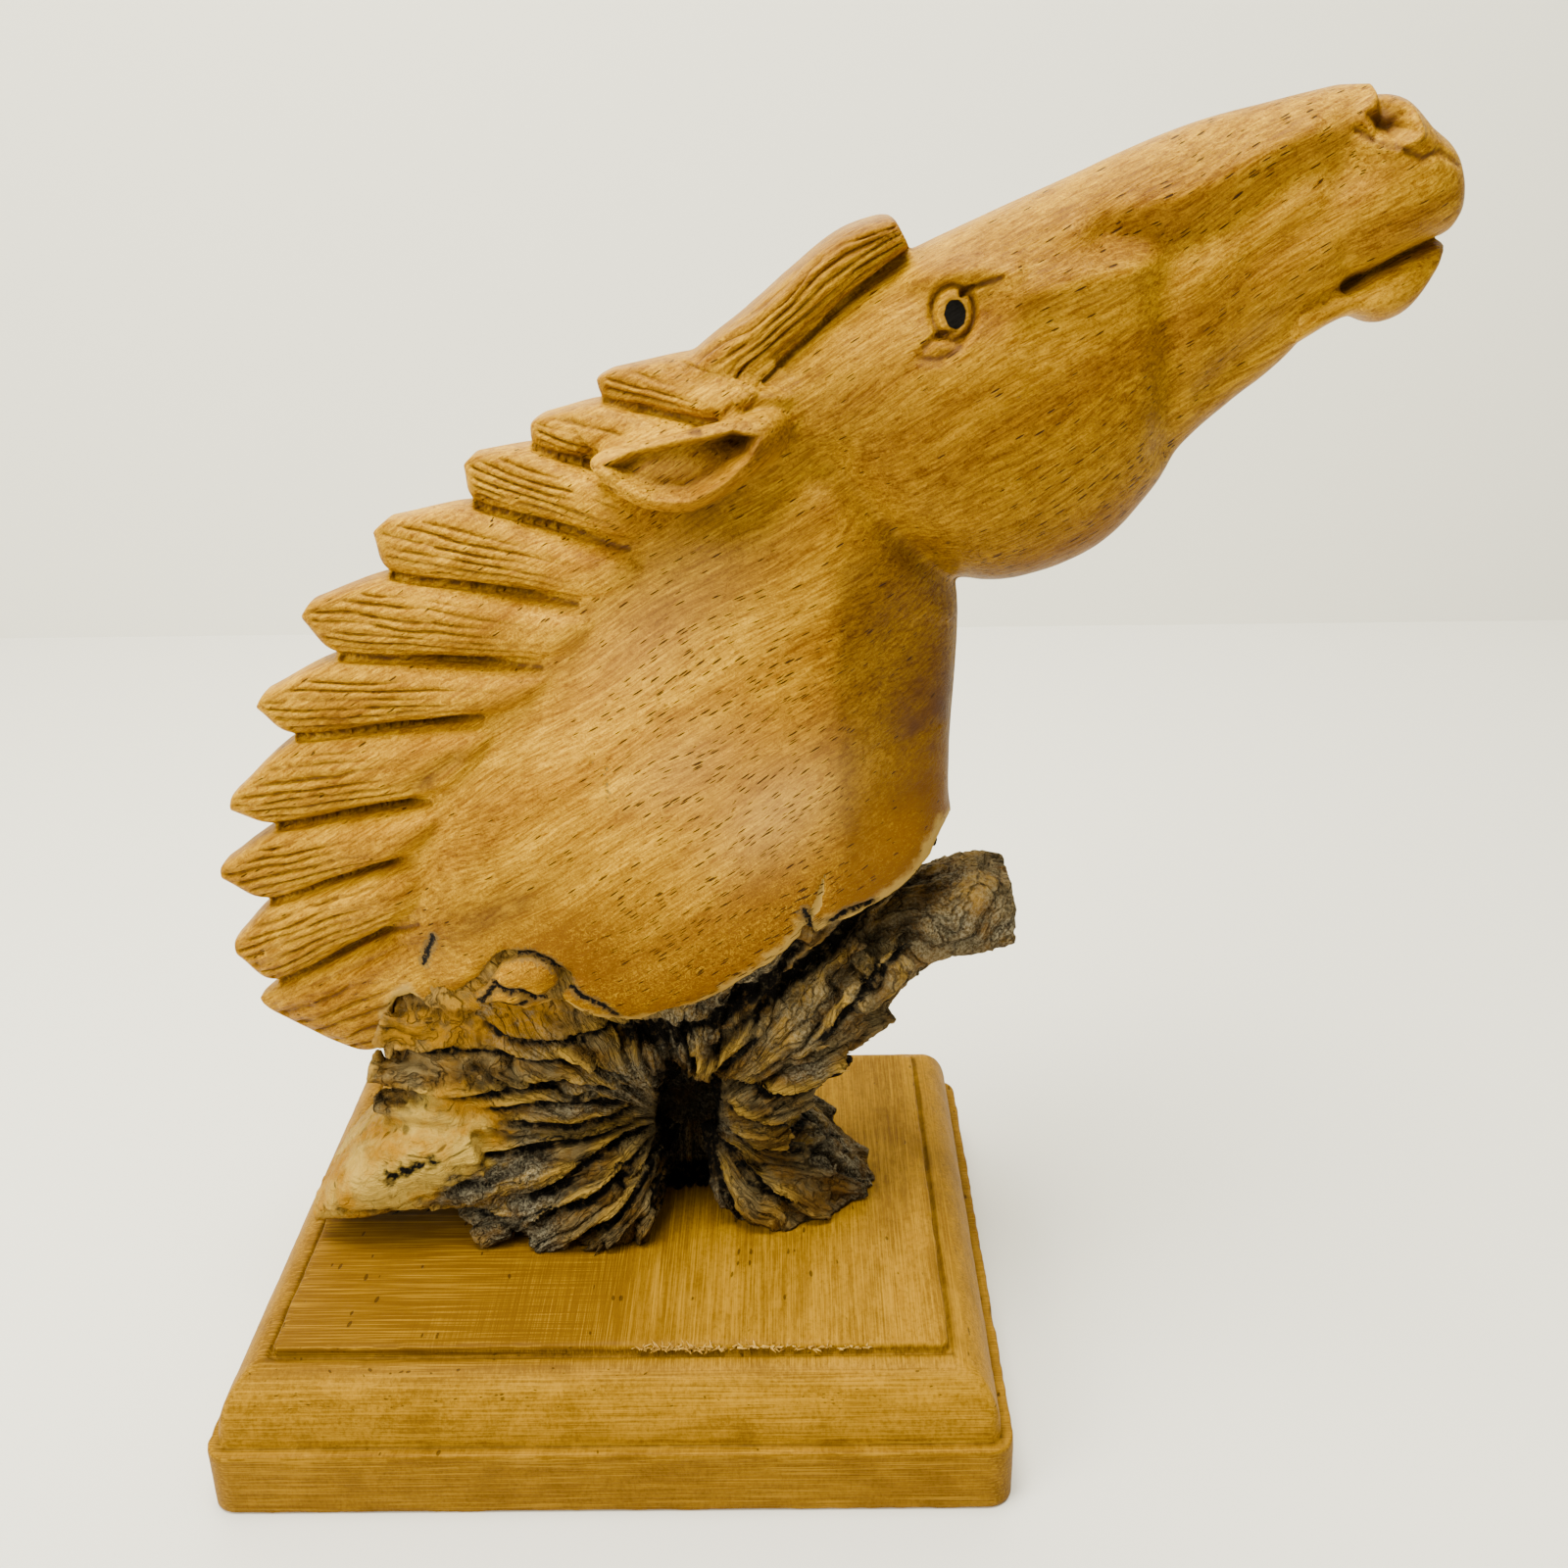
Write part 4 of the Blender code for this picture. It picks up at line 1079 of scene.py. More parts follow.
        # Broad cuts go in along Y
        broad = sum(stroke.cut(x, z) for stroke in strokes if not stroke.is_fine())
        broad = broad + self.face_cut(x, z)
        points[:, 1] -= np.sign(y) * fade * broad
        set_points(mesh, points)
        # Fine cuts go in square to the surface, on the parts that face sideways
        normals = normals_of(mesh)
        sideways = smooth_step(0.05, 0.40, np.abs(normals[:, 1]))
        facing = sideways * fade
        lines = [stroke for stroke in strokes if stroke.is_fine()]
        fine = sum(stroke.cut(x, z) for stroke in lines) * facing
        comb, combed = np.zeros(len(x)), np.zeros(len(x))
        for grooves in self.combs():
            count, deep = grooves.count(x, z)
            comb[deep > 0], combed[deep > 0] = count[deep > 0], deep[deep > 0]
        combed = combed * sideways
        valley = np.clip(1 - np.abs(comb - np.round(comb)) / 0.40, 0, 1)
        fine += self.groove_depth * valley * combed
        fine += self.tool_marks * Noise(3).layers(points * np.array([0.35, 0.5, 0.55]), 2)
        height = edge_height(points)
        fine += self.rim_round * np.exp(-(np.maximum(height, 0) / 1.1) ** 2) * facing
        points -= normals * fine[:, None]
        give_attribute(mesh, "comb", comb)
        give_attribute(mesh, "combed", combed)
        self.colour_fields(mesh, points, lines, height)
        return self.work.finish("carved_head", mesh, points, material, [])

    def colour_fields(self, mesh: Mesh, points: Points, lines: list[Stroke],
                      height: Values) -> None:
        """Store what the finish reads: distances to lines, the painted light and shade, and the places of
        stains.

        Args:
            mesh: the mesh to store on.
            points: its points, in shares.
            lines: the fine strokes.
            height: how far each point lies over the live edge, in millimetres.
        """
        x, _, z = points.T
        groove, black = (self.line_distance(strokes, x, z) for strokes in (lines, CRACKS))
        # Painted shade in the nostril, in the deepest end and whole of the ear's cup, below the ear, and in
        # the line round the eyeball
        hollow = np.maximum.reduce([
            smooth_step(0.0, 1.0, inside_distance(NOSTRIL, x, z)),
            spot(x, z, EAR_CUP_END, (1.8, 0.9)),
            0.62 * smooth_step(0.0, 1.2, inside_distance(EAR_CUP, x, z)),
            0.6 * spot(x, z, (10.5, 69.4), (4.4, 1.0), 32),
            0.9 * np.exp(-((eye_distance(x, z) - 1.12) / 0.10) ** 2)])
        knot = spot(x, z, *KNOT)
        amber = smooth_step(30.0, 5.0, height) * smooth_step(-14.0, 4.0, x) + stains("amber", x, z)
        neck = smooth_step(-4.0, 10.0, x) * smooth_step(66.0, 54.0, z) * smooth_step(24.0, 18.0, x)
        waver = 0.5 * Noise(6).layers(points * 0.3, 2)
        # Painted shade on the neck's right panel; tone also paints light on the mane, and the knot is lighter
        # wood
        panel = smooth_step(19.2, 21.0, x + waver) * smooth_step(69.0, 62.0, z)
        tone = 0.42 + stains("tone", x, z) + 0.12 * smooth_step(-8.0, -14.0, x) - 0.52 * panel
        fields = {"edge": height + 5 * knot, "groove": groove, "black": black, "hollow": hollow,
                  "amber": amber * (1 - 0.7 * knot), "shade": stains("shade", x, z),
                  "sheen": stains("sheen", x, z), "pored": 0.10 + 0.7 * neck + stains("pored", x, z),
                  "tone": np.clip(tone + 0.5 * knot, 0, 1), "pupil": inside_distance(PUPIL, x, z) * SHARE_MM}
        for name, values in fields.items():
            give_attribute(mesh, name, values)

    def line_distance(self, strokes: list[Stroke], x: Values, z: Values) -> Values:
        """Return the distance to the nearest of some strokes in millimetres, or far_off."""
        gap = np.full(len(x), self.far_off)
        for stroke in strokes:
            near = stroke.nearby(x, z, 2.0)
            found, _, _ = nearest_on(stroke.path, x[near], z[near])
            gap[near] = np.minimum(gap[near], found * SHARE_MM)
        return gap


@dataclass(frozen=True)
class RootFoot:
    """The weathered root: bark flakes that fan out from a cavity. Heights are millimetres."""

    work: WoodWork = WoodWork(smooth_passes=6)
    flakes_around: float = 4.6
    flake_length: float = 0.050
    flake_thickness: float = 0.16
    step: float = 1.2
    tilt: float = 2.2
    crevice_depth: float = 1.5
    fibre: float = 0.30
    lean: float = 0.55
    slot_depth: float = 3.4

    def flute(self, path: list[tuple[float, float, float]], girths: list[float]) -> list[Points]:
        """Sweep one flute of bark.

        Args:
            path: points that it runs through, in shares.
            girths: its half width at each point.

        Returns:
            The rings of points.
        """
        dense = through([(*place, girth) for place, girth in zip(path, girths)], 48)
        line, girth = dense[:, :3], dense[:, 3]
        ahead = np.gradient(line, axis=0)
        ahead /= np.linalg.norm(ahead, axis=1)[:, None]
        across = np.cross(ahead, (0.0, 1.0, 0.0))
        across /= np.linalg.norm(across, axis=1)[:, None]
        lift = np.cross(across, ahead)
        angle = np.linspace(0, 2 * math.pi, 36, endpoint=False)[:, None]
        return [point + g * (np.cos(angle) * a + FLUTE_FLATNESS * np.sin(angle) * b)
                for point, a, b, g in zip(line, across, lift, girth)]

    def form(self) -> Mesh:
        """Fuse the root's masses and flutes."""
        bodies = [Mass(ROOT_LEFT).skin(), Mass(ROOT_RIGHT).skin(), Mass(WEDGE).skin(),
                  Mass(ROOT_BACK, ROOT_BACK_OFFSET).skin(), Mass(STUB).skin(),
                  Mass(FLARE, FLARE_OFFSET).skin(), Mass(HEART).skin()]
        hub = np.array(HUB)
        for side in (-1, 1):
            for x, z, girth, proud in FLUTES:
                end = np.array((x, z))
                start = hub + HUB_RADIUS * (end - hub) / np.linalg.norm(end - hub)
                path = [(place[0], side * (FLUTE_SEAT - sink + rise * proud), place[1])
                        for place, sink, rise in zip((start, (start + end) / 2, end), FLUTE_SINK, FLUTE_RISE)]
                bodies.append(self.flute(path, [girth * taper for taper in FLUTE_TAPER]))
        draft = self.work.fuse("root_form", bodies)
        self.work.add_smooth(draft)
        return baked(draft, "root_form")

    def fan(self, points: Points) -> Points:
        """Return places in the bark's own directions: across the flakes, along them, and inwards."""
        x, y, z = points.T
        hub_z = HUB[1] + self.lean * np.maximum(z - HUB[1] - 1.5, 0) * smooth_step(6.0, -6.0, x)
        turn = np.arctan2(x - HUB[0], z - hub_z)
        radius = np.hypot(x - HUB[0], z - hub_z)
        around, outward = turn * self.flakes_around, radius * self.flake_length
        fan = np.stack([around, outward, y * self.flake_thickness], axis=1)
        warp = np.stack([Noise(21).layers(points * 0.16 + shift, 3) for shift in (0, 31, 62)], axis=1)
        return fan + warp * np.array([0.62, 0.34, 0.34])

    def plate_lines(self, x: Values, z: Values) -> tuple[Values, Values]:
        """Find the gaps between the bark plates.

        Args:
            x: the places' x, in shares.
            z: the places' z, in shares.

        Returns:
            How close each place is to a gap, and to the worn edge over it, from 0 to 1.
        """
        gaps, edges = np.zeros(len(x)), np.zeros(len(x))
        for plate in PLATES:
            near = plate.nearby(x, z, 2.5)
            gap, side, along = nearest_on(plate.path, x[near], z[near])
            ends = np.clip(8 * np.minimum(along, 1 - along), 0, 1)
            signed = gap * side
            below = ends * smooth_step(-0.2, 0.05, signed) * smooth_step(0.85, 0.15, signed)
            above = ends * smooth_step(-1.5, -0.4, signed) * smooth_step(0.0, -0.2, signed)
            gaps[near], edges[near] = np.maximum(gaps[near], below), np.maximum(edges[near], above)
        return gaps, edges

    def relief(self, points: Points, height: Values) -> dict[str, Values]:
        """Work out the bark's flakes.

        Args:
            points: places on the root, in shares.
            height: how far they lie over the live edge, in millimetres.

        Returns:
            The rise of each place in millimetres, its painted crevice shade, its wear with painted light, its
            golden wood, its cream sapwood and its ashen grey, each from 0 to 1, and its place along the fan.
        """
        x, y, z = points.T
        # Flakes in two sizes, fibres and pits
        fan = self.fan(points)
        wall, own, away = Noise(22).cells(fan)
        fine_wall, fine_own, fine_away = Noise(23).cells(fan * np.array([3.1, 2.2, 2.6]))
        deep = np.exp(-(wall / 0.11) ** 2) * (0.35 + 0.65 * own[:, 1])
        fine_deep = np.exp(-(fine_wall / 0.15) ** 2) * fine_own[:, 1]
        fibres = 1 - 2 * np.abs(Noise(24).layers(fan * np.array([11.0, 6.0, 8.0]), 2)) ** 0.7
        pits = Noise(25).layers(points * 1.3, 3)
        radius = np.hypot(x - HUB[0], z - HUB[1])
        # Patches of other wood on the near side, and ashen places
        sapwood, _, _ = nearest_on(SAPWOOD, x, z)
        rough = smooth_step(-0.7, 0.5, inside_distance(ROUGH_PATCH, x, z) + 1.2 * pits) * (y < 0)
        cream = smooth_step(5.4, 3.0, sapwood + 1.8 * pits) * (y < 3.0) * (1 - rough)
        tracks, _, _ = nearest_on(WORM_TRACKS, x, z)
        tracks = smooth_step(0.75, 0.25, tracks + 0.9 * pits) * (y < 0)
        patchy = smooth_step(0.0, 0.4, Noise(26).layers(points * 0.13, 2)) * (1 - cream)
        ashen = rough + stains("ashen", x, z) + 0.9 * patchy
        pads = (spot(x, z, (-16.6, 22.2), (5.4, 2.0)) + spot(x, z, (-9.0, 25.0), (5.0, 2.8), -10)) * (y < 0)
        pads = np.clip(1.3 * pads, 0, 1)
        # The flakes' rise, calmer on those patches, on the stub and near the cavity
        stub = smooth_step(24.0, 33.0, x)
        lively = (1 - 0.8 * cream) * (1 - 0.4 * pads) * (1 - 0.5 * stub)
        lively = lively * (0.3 + 0.7 * smooth_step(2.4, 7.0, radius)) * smooth_step(1.2, -0.6, height)
        rise = self.step * (own[:, 0] - 0.5) + self.tilt * away[:, 0] * (0.3 + 0.7 * own[:, 1])
        rise = rise - self.crevice_depth * deep
        rise = rise + 0.5 * (fine_own[:, 0] - 0.5) + 0.6 * fine_away[:, 0] - 0.5 * fine_deep
        rise = rise * lively + self.fibre * fibres * (1 - 0.5 * cream)
        rise = rise + (0.40 + 0.5 * rough) * pits - 0.35 * lively - 0.9 * tracks
        # Painted shade in the crevices, under the plates, in the cleft, the slot and the cavity, and worn
        # edges lit partly by painted light
        slot = smooth_step(-0.6, 0.6, inside_distance(SLOT, x, z)) * (y < 0)
        gaps, edges = self.plate_lines(x, z)
        cleft = CLEFT.cut(x, z) / CLEFT.depth + 0.8 * SPLIT.cut(x, z) / SPLIT.depth
        crevice = (0.75 * deep + 0.3 * fine_deep) * lively + slot + gaps + smooth_step(0.25, 0.8, cleft)
        crevice = np.clip(crevice + 0.5 * smooth_step(5.5, 2.5, radius) + 0.9 * tracks, 0, 1)
        # worn: wear on proud flakes, and painted light on them and on the edges over the plate gaps
        worn = smooth_step(-0.6, 1.2, rise) * (0.35 + 0.5 * smooth_step(5.0, 16.0, radius)) + 0.9 * edges
        worn = np.clip(worn * (1 - 0.2 * smooth_step(2.0, 14.0, x)), 0, 1) * (1 - crevice)
        return {"rise": rise, "crevice": crevice, "worn": worn, "gold": pads, "cream": cream,
                "ashen": np.clip(ashen, 0, 1), "fan": fan}

    def build(self, material: Material) -> Object:
        """Make the root foot.

        Args:
            material: the weathered wood.

        Returns:
            The finished piece.
        """
        mesh = self.form()
        LOG.info("root form: %d points", len(mesh.vertices))
        points = points_of(mesh) / SHARE
        x, y, z = points.T
        fade = np.clip(np.abs(y) / self.work.side_fade, 0, 1)
        cut = sum(stroke.cut(x, z) for stroke in (CLEFT, SPLIT, *PLATES))
        open_slot = smooth_step(-0.4, 0.9, inside_distance(SLOT, x, z)) * smooth_step(-1.0, 5.0, z)
        cut = cut + self.slot_depth * open_slot * (y < 0)
        points[:, 1] -= np.sign(y) * fade * cut
        set_points(mesh, points)
        normals = normals_of(mesh)
        height = edge_height(points)
        fields = self.relief(points, height)
        points += normals * (fields.pop("rise") / SHARE_MM)[:, None]
        fields["edge"] = height
        for name, values in fields.items():
            give_attribute(mesh, name, values)
        seat = prism("seat_saw", [(-0.3, -0.1), (0.3, -0.1), (0.3, SEAT_Z), (-0.3, SEAT_Z)], 0.2)
        return self.work.finish("root_foot", mesh, points, material, [seat])


@dataclass(frozen=True)
class MouldedPlinth:
    """The moulded board under the root. Lengths are metres."""

    fascia: float = 0.0165
    fillet: float = 0.0028
    ovolo_width: float = 0.0098
    ovolo_height: float = 0.0158
    quirk: float = 0.0015
    quirk_groove: float = 0.0007
    arris: float = 0.0006
    corner: float = 0.006
    inner_corner: float = 0.002
    spacing: float = 0.0012
    corner_steps: int = 8
    fascia_rows: int = 15
    ovolo_steps: int = 22
    wear: float = 0.00055
    quirk_shade: float = 0.0011
    corner_shade: float = 0.0006

    def profile(self) -> list[tuple[float, float, float]]:
        """Return the edge from the floor up, as (distance in, height, share of wear)."""
        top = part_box("plinth")[1].z
        inner = self.fillet + self.ovolo_width
        edge = inner + self.quirk
        spring = self.fascia + self.ovolo_height
        rows = [(3 * self.arris, 0.0, 0.0), (self.arris, 0.0, 0.2), (0.3 * self.arris, 0.3 * self.arris, 0.8)]
        for t in np.linspace(0, 1, self.fascia_rows):
            rows.append((0.0, self.arris + t * (self.fascia - 2 * self.arris), 0.15 + 0.85 * t ** 8))
        rows += [(0.3 * self.arris, self.fascia - 0.3 * self.arris, 1.0), (self.arris, self.fascia, 0.8)]
        rows += [(self.arris + (self.fillet - self.arris) * t, self.fascia - 0.0002 * t, 0.3)
                 for t in (0.4, 0.8, 1.0)]
        for turn in np.linspace(0, math.pi / 2, self.ovolo_steps + 1)[1:]:
            rows.append((inner - self.ovolo_width * math.cos(turn),
                         self.fascia + self.ovolo_height * math.sin(turn), 0.35))
        rows += [(inner + 0.25 * self.quirk, spring - 0.4 * self.quirk_groove, 0.2),
                 (inner + 0.55 * self.quirk, spring - self.quirk_groove, 0.1),
                 (edge, spring - self.quirk_groove, 0.0),
                 (edge, spring + 0.4 * (top - spring), 0.5),
                 (edge, top - self.arris, 1.0),
                 (edge + 0.3 * self.arris, top - 0.3 * self.arris, 1.0),
                 (edge + self.arris, top, 0.6)]
        rows += [(edge + inset * MILLIMETRE, top, 0.1) for inset in (2, 4, 8, 14, 22, 32, 42)]
        return rows

    def ring(self, inset: float, z: float) -> list[tuple[float, float, float]]:
        """Return the points of one rounded rectangle, the same number for each inset.

        Args:
            inset: distance in from the fascia.
            z: height.

        Returns:
            The points, anticlockwise.
        """
        low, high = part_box("plinth")
        width, depth = high.x - low.x, high.y - low.y
        radius = max(self.corner - inset, self.inner_corner)
        middle_x, middle_y = width / 2 - inset - radius, depth / 2 - inset - radius
        corners = ((1, 1), (-1, 1), (-1, -1), (1, -1))
        points = []
        for quarter, (side_x, side_y) in enumerate(corners):
            for i in range(self.corner_steps + 1):
                turn = (quarter + i / self.corner_steps) * math.pi / 2
                points.append((side_x * middle_x + radius * math.cos(turn),
                               side_y * middle_y + radius * math.sin(turn), z))
            next_x, next_y = corners[(quarter + 1) % 4]
            turn = (quarter + 1) * math.pi / 2
            start = np.array(points[-1])
            end = np.array((next_x * middle_x + radius * math.cos(turn),
                            next_y * middle_y + radius * math.sin(turn), z))
            steps = round((width if quarter % 2 == 0 else depth) / self.spacing)
            points += [tuple(start + (end - start) * i / steps) for i in range(1, steps)]
        return points

    def worn(self, points: Points, wear: Values) -> Points:
        """Round and dent the arrises, and tear the upper lip of the front quirk.

        Args:
            points: the board's points.
            wear: how much each may wear, from 0 to 1.

        Returns:
            The points moved inwards.
        """
        places = points / MILLIMETRE
        dents = np.clip(0.35 + Noise(41).layers(places * np.array([0.16, 0.16, 0.30]), 4, 0.6), 0, 1)
        front = smooth_step(-52.0, -58.0, places[:, 1])
        lip = front * spot(places[:, 0], places[:, 2], (32.0, 34.0), (32.0, 1.2))
        torn = np.clip(0.2 + Noise(42).layers(places * np.array([0.55, 0.4, 0.8]), 3, 0.6), 0, 1)
        amount = self.wear * (dents * wear + 1.4 * lip * torn * (wear > 0.4))
        # Away from the middle, almost square to the nearest side
        outward = (points / np.array(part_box("plinth")[1])) ** 9
        outward[:, 2] = np.where(points[:, 2] > 0.5 * self.fascia, 0.5, -0.5)
        outward /= np.linalg.norm(outward, axis=1)[:, None]
        return points - outward * amount[:, None]

    def build(self, material: Material) -> Object:
        """Make the board.

        Args:
            material: the plinth's wood.

        Returns:
            The finished piece, standing in for its CAD node.
        """
        profile = self.profile()
        rings = [self.ring(inset, z) for inset, z, _ in profile]
        bm = bmesh.new()
        bmesh.ops.triangulate(bm, faces=loft(bm, rings))
        mesh = mesh_from("moulded_plinth", bm)
        wear = np.repeat([row[2] for row in profile], len(rings[0]))
        points = points_of(mesh)
        set_points(mesh, self.worn(points, wear))
        give_attribute(mesh, "quirk", self.quirk_depth(points))
        mesh.materials.append(material)
        mesh.shade_smooth()
        piece = new_object("moulded_plinth", mesh)
        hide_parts("plinth")
        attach(piece, BODY)
        return piece

    def quirk_depth(self, points: Points) -> Values:
        """Return how deep each point lies in the quirk or the fillet's inner corner, from 0 to 1."""
        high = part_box("plinth")[1]
        inset = np.minimum(high.x - np.abs(points[:, 0]), high.y - np.abs(points[:, 1]))
        spring = self.fascia + self.ovolo_height
        inner = self.fillet + self.ovolo_width
        in_quirk = np.exp(-((inset - inner - 0.7 * self.quirk) / (0.75 * self.quirk)) ** 2
                          - ((points[:, 2] - spring) / self.quirk_shade) ** 2)
        off_corner = np.hypot(inset - self.fillet, points[:, 2] - self.fascia)
        in_corner = np.exp(-(off_corner / self.corner_shade) ** 2)
        return np.clip(in_quirk + 0.7 * in_corner, 0, 1)

    def quirk_lip(self) -> list[Vector]:
        """Return the line along the front quirk's lip, back and forth where it is torn most."""
        low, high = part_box("plinth")
        inset = self.fillet + self.ovolo_width + self.quirk
        turns = (0.006, 0.026, 0.008, 0.028, 0.058)
        return [Vector((x, low.y + inset, high.z - self.arris)) for x in turns]


class Nodes:
    """A node tree while it is being wired."""

    def __init__(self, tree: NodeTree) -> None:
        """Keep the tree.

        Args:
            tree: the tree to add nodes to.
        """
        self.tree = tree

    def add(self, kind: str, **settings: object) -> bpy.types.Node:
        """Add a node and set its properties."""
        node = self.tree.nodes.new(kind)
        for name, value in settings.items():
            setattr(node, name, value)
        return node

    def put(self, socket: Socket, value: object) -> None:
        """Link a socket to the input, or set the input's own value."""
        if isinstance(value, bpy.types.NodeSocket):
            self.tree.links.new(value, socket)
        else:
            socket.default_value = value

    def math(self, operation: str, *values: object, clamp: bool = False) -> Socket:
        """Add a Math node and return its output."""
        node = self.add("ShaderNodeMath", operation=operation, use_clamp=clamp)
        for socket, value in zip(node.inputs, values):
            self.put(socket, value)
        return node.outputs[0]

    def vector(self, operation: str, *values: object) -> Socket:
        """Add a Vector Math node and return its vector."""
        node = self.add("ShaderNodeVectorMath", operation=operation)
        for socket, value in zip(node.inputs, values):
            self.put(socket, value)
        return node.outputs["Vector"]

    def times(self, *values: object, clamp: bool = False) -> Socket:
        """Multiply two values."""
        return self.math("MULTIPLY", *values, clamp=clamp)

    def scaled(self, value: object, factor: object, offset: object) -> Socket:
        """Multiply a value by a factor and add an offset."""
        return self.math("MULTIPLY_ADD", value, factor, offset)

    def stretched(self, vector: Socket, factors: object) -> Socket:
        """Multiply each of a vector's three values by its own factor."""
        return self.vector("MULTIPLY", vector, factors)

    def combine(self, *values: object) -> Socket:
        """Join three values to a vector."""
        node = self.add("ShaderNodeCombineXYZ")
        for socket, value in zip(node.inputs, values):
            self.put(socket, value)
        return node.outputs[0]

    def split(self, vector: Socket) -> list[Socket]:
        """Return the three values of a vector."""
        node = self.add("ShaderNodeSeparateXYZ")
        self.put(node.inputs[0], vector)
        return list(node.outputs)

    def span(self, value: object, low: float, high: float, bottom: float = 0.0, top: float = 1.0) -> Socket:
        """Map a value smoothly from low..high to bottom..top and return it."""
        node = self.add("ShaderNodeMapRange", interpolation_type="SMOOTHSTEP")
        for socket, setting in zip(node.inputs, (value, low, high, bottom, top)):
            self.put(socket, setting)
        return node.outputs[0]

    def noise(self, vector: object, scale: object, detail: float = 2.0, roughness: float = 0.5,
              distortion: float = 0.0) -> Socket:
        """Add a Noise Texture and return its value."""
        node = self.add("ShaderNodeTexNoise")
        names = ("Vector", "Scale", "Detail", "Roughness", "Distortion")
        for name, value in zip(names, (vector, scale, detail, roughness, distortion)):
            self.put(node.inputs[name], value)
        return node.outputs[0]

    def blend(self, factor: object, first: object, second: object, mode: str = "MIX") -> Socket:
        """Mix two colours and return the result."""
        node = self.add("ShaderNodeMix", data_type="RGBA", blend_type=mode)
        colours = [(*value, 1.0) if isinstance(value, tuple) else value for value in (first, second)]
        for place, value in zip((0, 6, 7), (factor, *colours)):
            self.put(node.inputs[place], value)
        return node.outputs[2]

    def tint(self, colour: Socket, pattern: Socket, bare: float, full: float, strength: float,
             tone: Colour, mode: str = "MIX") -> Socket:
        """Blend a tone over a colour, from nothing where a pattern is bare to its strength at full."""
        return self.blend(self.span(pattern, bare, full, 0.0, strength), colour, tone, mode)

    def field(self, name: str) -> Socket:
        """Read a point attribute as a value."""
        return self.add("ShaderNodeAttribute", attribute_name=name).outputs["Fac"]

    def group(self, tree: NodeTree, **values: object) -> bpy.types.Node:
        """Place a node group with its own values; an underscore stands for a space in a name."""
        node = self.add("ShaderNodeGroup", node_tree=tree)
        for name, value in values.items():
            self.put(node.inputs[name.replace("_", " ").capitalize()], value)
        return node


def new_group(name: str, inputs: dict[str, float | Colour], outputs: list[str]
              ) -> tuple[NodeTree, Nodes, bpy.types.Node, bpy.types.Node]:
    """Start a shader node group.

    Args:
        name: its name.
        inputs: the name and first value of each input; three numbers make a vector.
        outputs: the names of its outputs, all plain values.

    Returns:
        The tree, its nodes, and its input and output nodes.
    """
    tree = bpy.data.node_groups.new(name, "ShaderNodeTree")
    for label, value in inputs.items():
        kind = "NodeSocketVector" if isinstance(value, tuple) else "NodeSocketFloat"
        socket = tree.interface.new_socket(name=label, in_out="INPUT", socket_type=kind)
        socket.default_value = value
    for label in outputs:
        tree.interface.new_socket(name=label, in_out="OUTPUT", socket_type="NodeSocketFloat")
    nodes = Nodes(tree)
    return tree, nodes, nodes.add("NodeGroupInput"), nodes.add("NodeGroupOutput")


def grain_group() -> NodeTree:
    """Build the wood grain that all the woods share.

    Its vector is in millimetres with X along the grain. It puts out the broad figure, the fine
    streaks and the open pores, each from 0 to 1.
    """
    tree, nodes, given, out = new_group(
        "wood_grain",
        {"Vector": (0.0, 0.0, 0.0), "Figure width": 8.0, "Pore length": 4.0, "Pore width": 0.5,
         "Pore share": 0.3},
        ["Figure", "Streak", "Pore"])
    place = given.outputs["Vector"]
    # The grain sways to either side along its length
    drift = nodes.noise(nodes.stretched(place, (0.012, 0.03, 0.03)), 1.0, 2.0)
    sway = nodes.scaled(drift, 14.0, -7.0)
    place = nodes.vector("ADD", place, nodes.combine(0.0, 0.0, sway))
    # Broad figure and fine streaks
    narrow = nodes.math("DIVIDE", 1.0, given.outputs["Figure width"])
    stretch = nodes.combine(nodes.times(narrow, 0.10), nodes.times(narrow, 0.6), narrow)
    figure = nodes.noise(nodes.stretched(place, stretch), 1.0, 4.0, 0.55, 0.3)
    nodes.put(out.inputs["Figure"], nodes.span(figure, 0.30, 0.70))
    streak = nodes.noise(nodes.stretched(place, (0.14, 1.0, 1.7)), 1.0, 4.0, 0.72, 0.4)
    nodes.put(out.inputs["Streak"], nodes.span(streak, 0.32, 0.68))
    # Pores: a short dash in some of the long cells, in rows that come and go
    size = nodes.combine(nodes.math("DIVIDE", 1.0, given.outputs["Pore length"]), 0.7,
                         nodes.math("DIVIDE", 1.0, given.outputs["Pore width"]))
    cells = nodes.add("ShaderNodeTexVoronoi", feature="F1")
    nodes.put(cells.inputs["Vector"], nodes.stretched(place, size))
    nodes.put(cells.inputs["Scale"], 1.0)
    number = nodes.add("ShaderNodeSeparateColor")
    nodes.put(number.inputs[0], cells.outputs["Color"])
    rows = nodes.noise(nodes.stretched(place, (0.03, 0.25, 0.38)), 1.0, 1.0)
    share = nodes.times(given.outputs["Pore share"], nodes.span(rows, 0.35, 0.62, 0.35, 1.5))
    kept = nodes.math("LESS_THAN", number.outputs[0], share)
    girth = nodes.scaled(number.outputs[1], 0.20, 0.20)
    dash = nodes.math("SUBTRACT", girth, cells.outputs["Distance"])
    nodes.put(out.inputs["Pore"], nodes.times(nodes.span(dash, -0.02, 0.10), kept))
    return tree


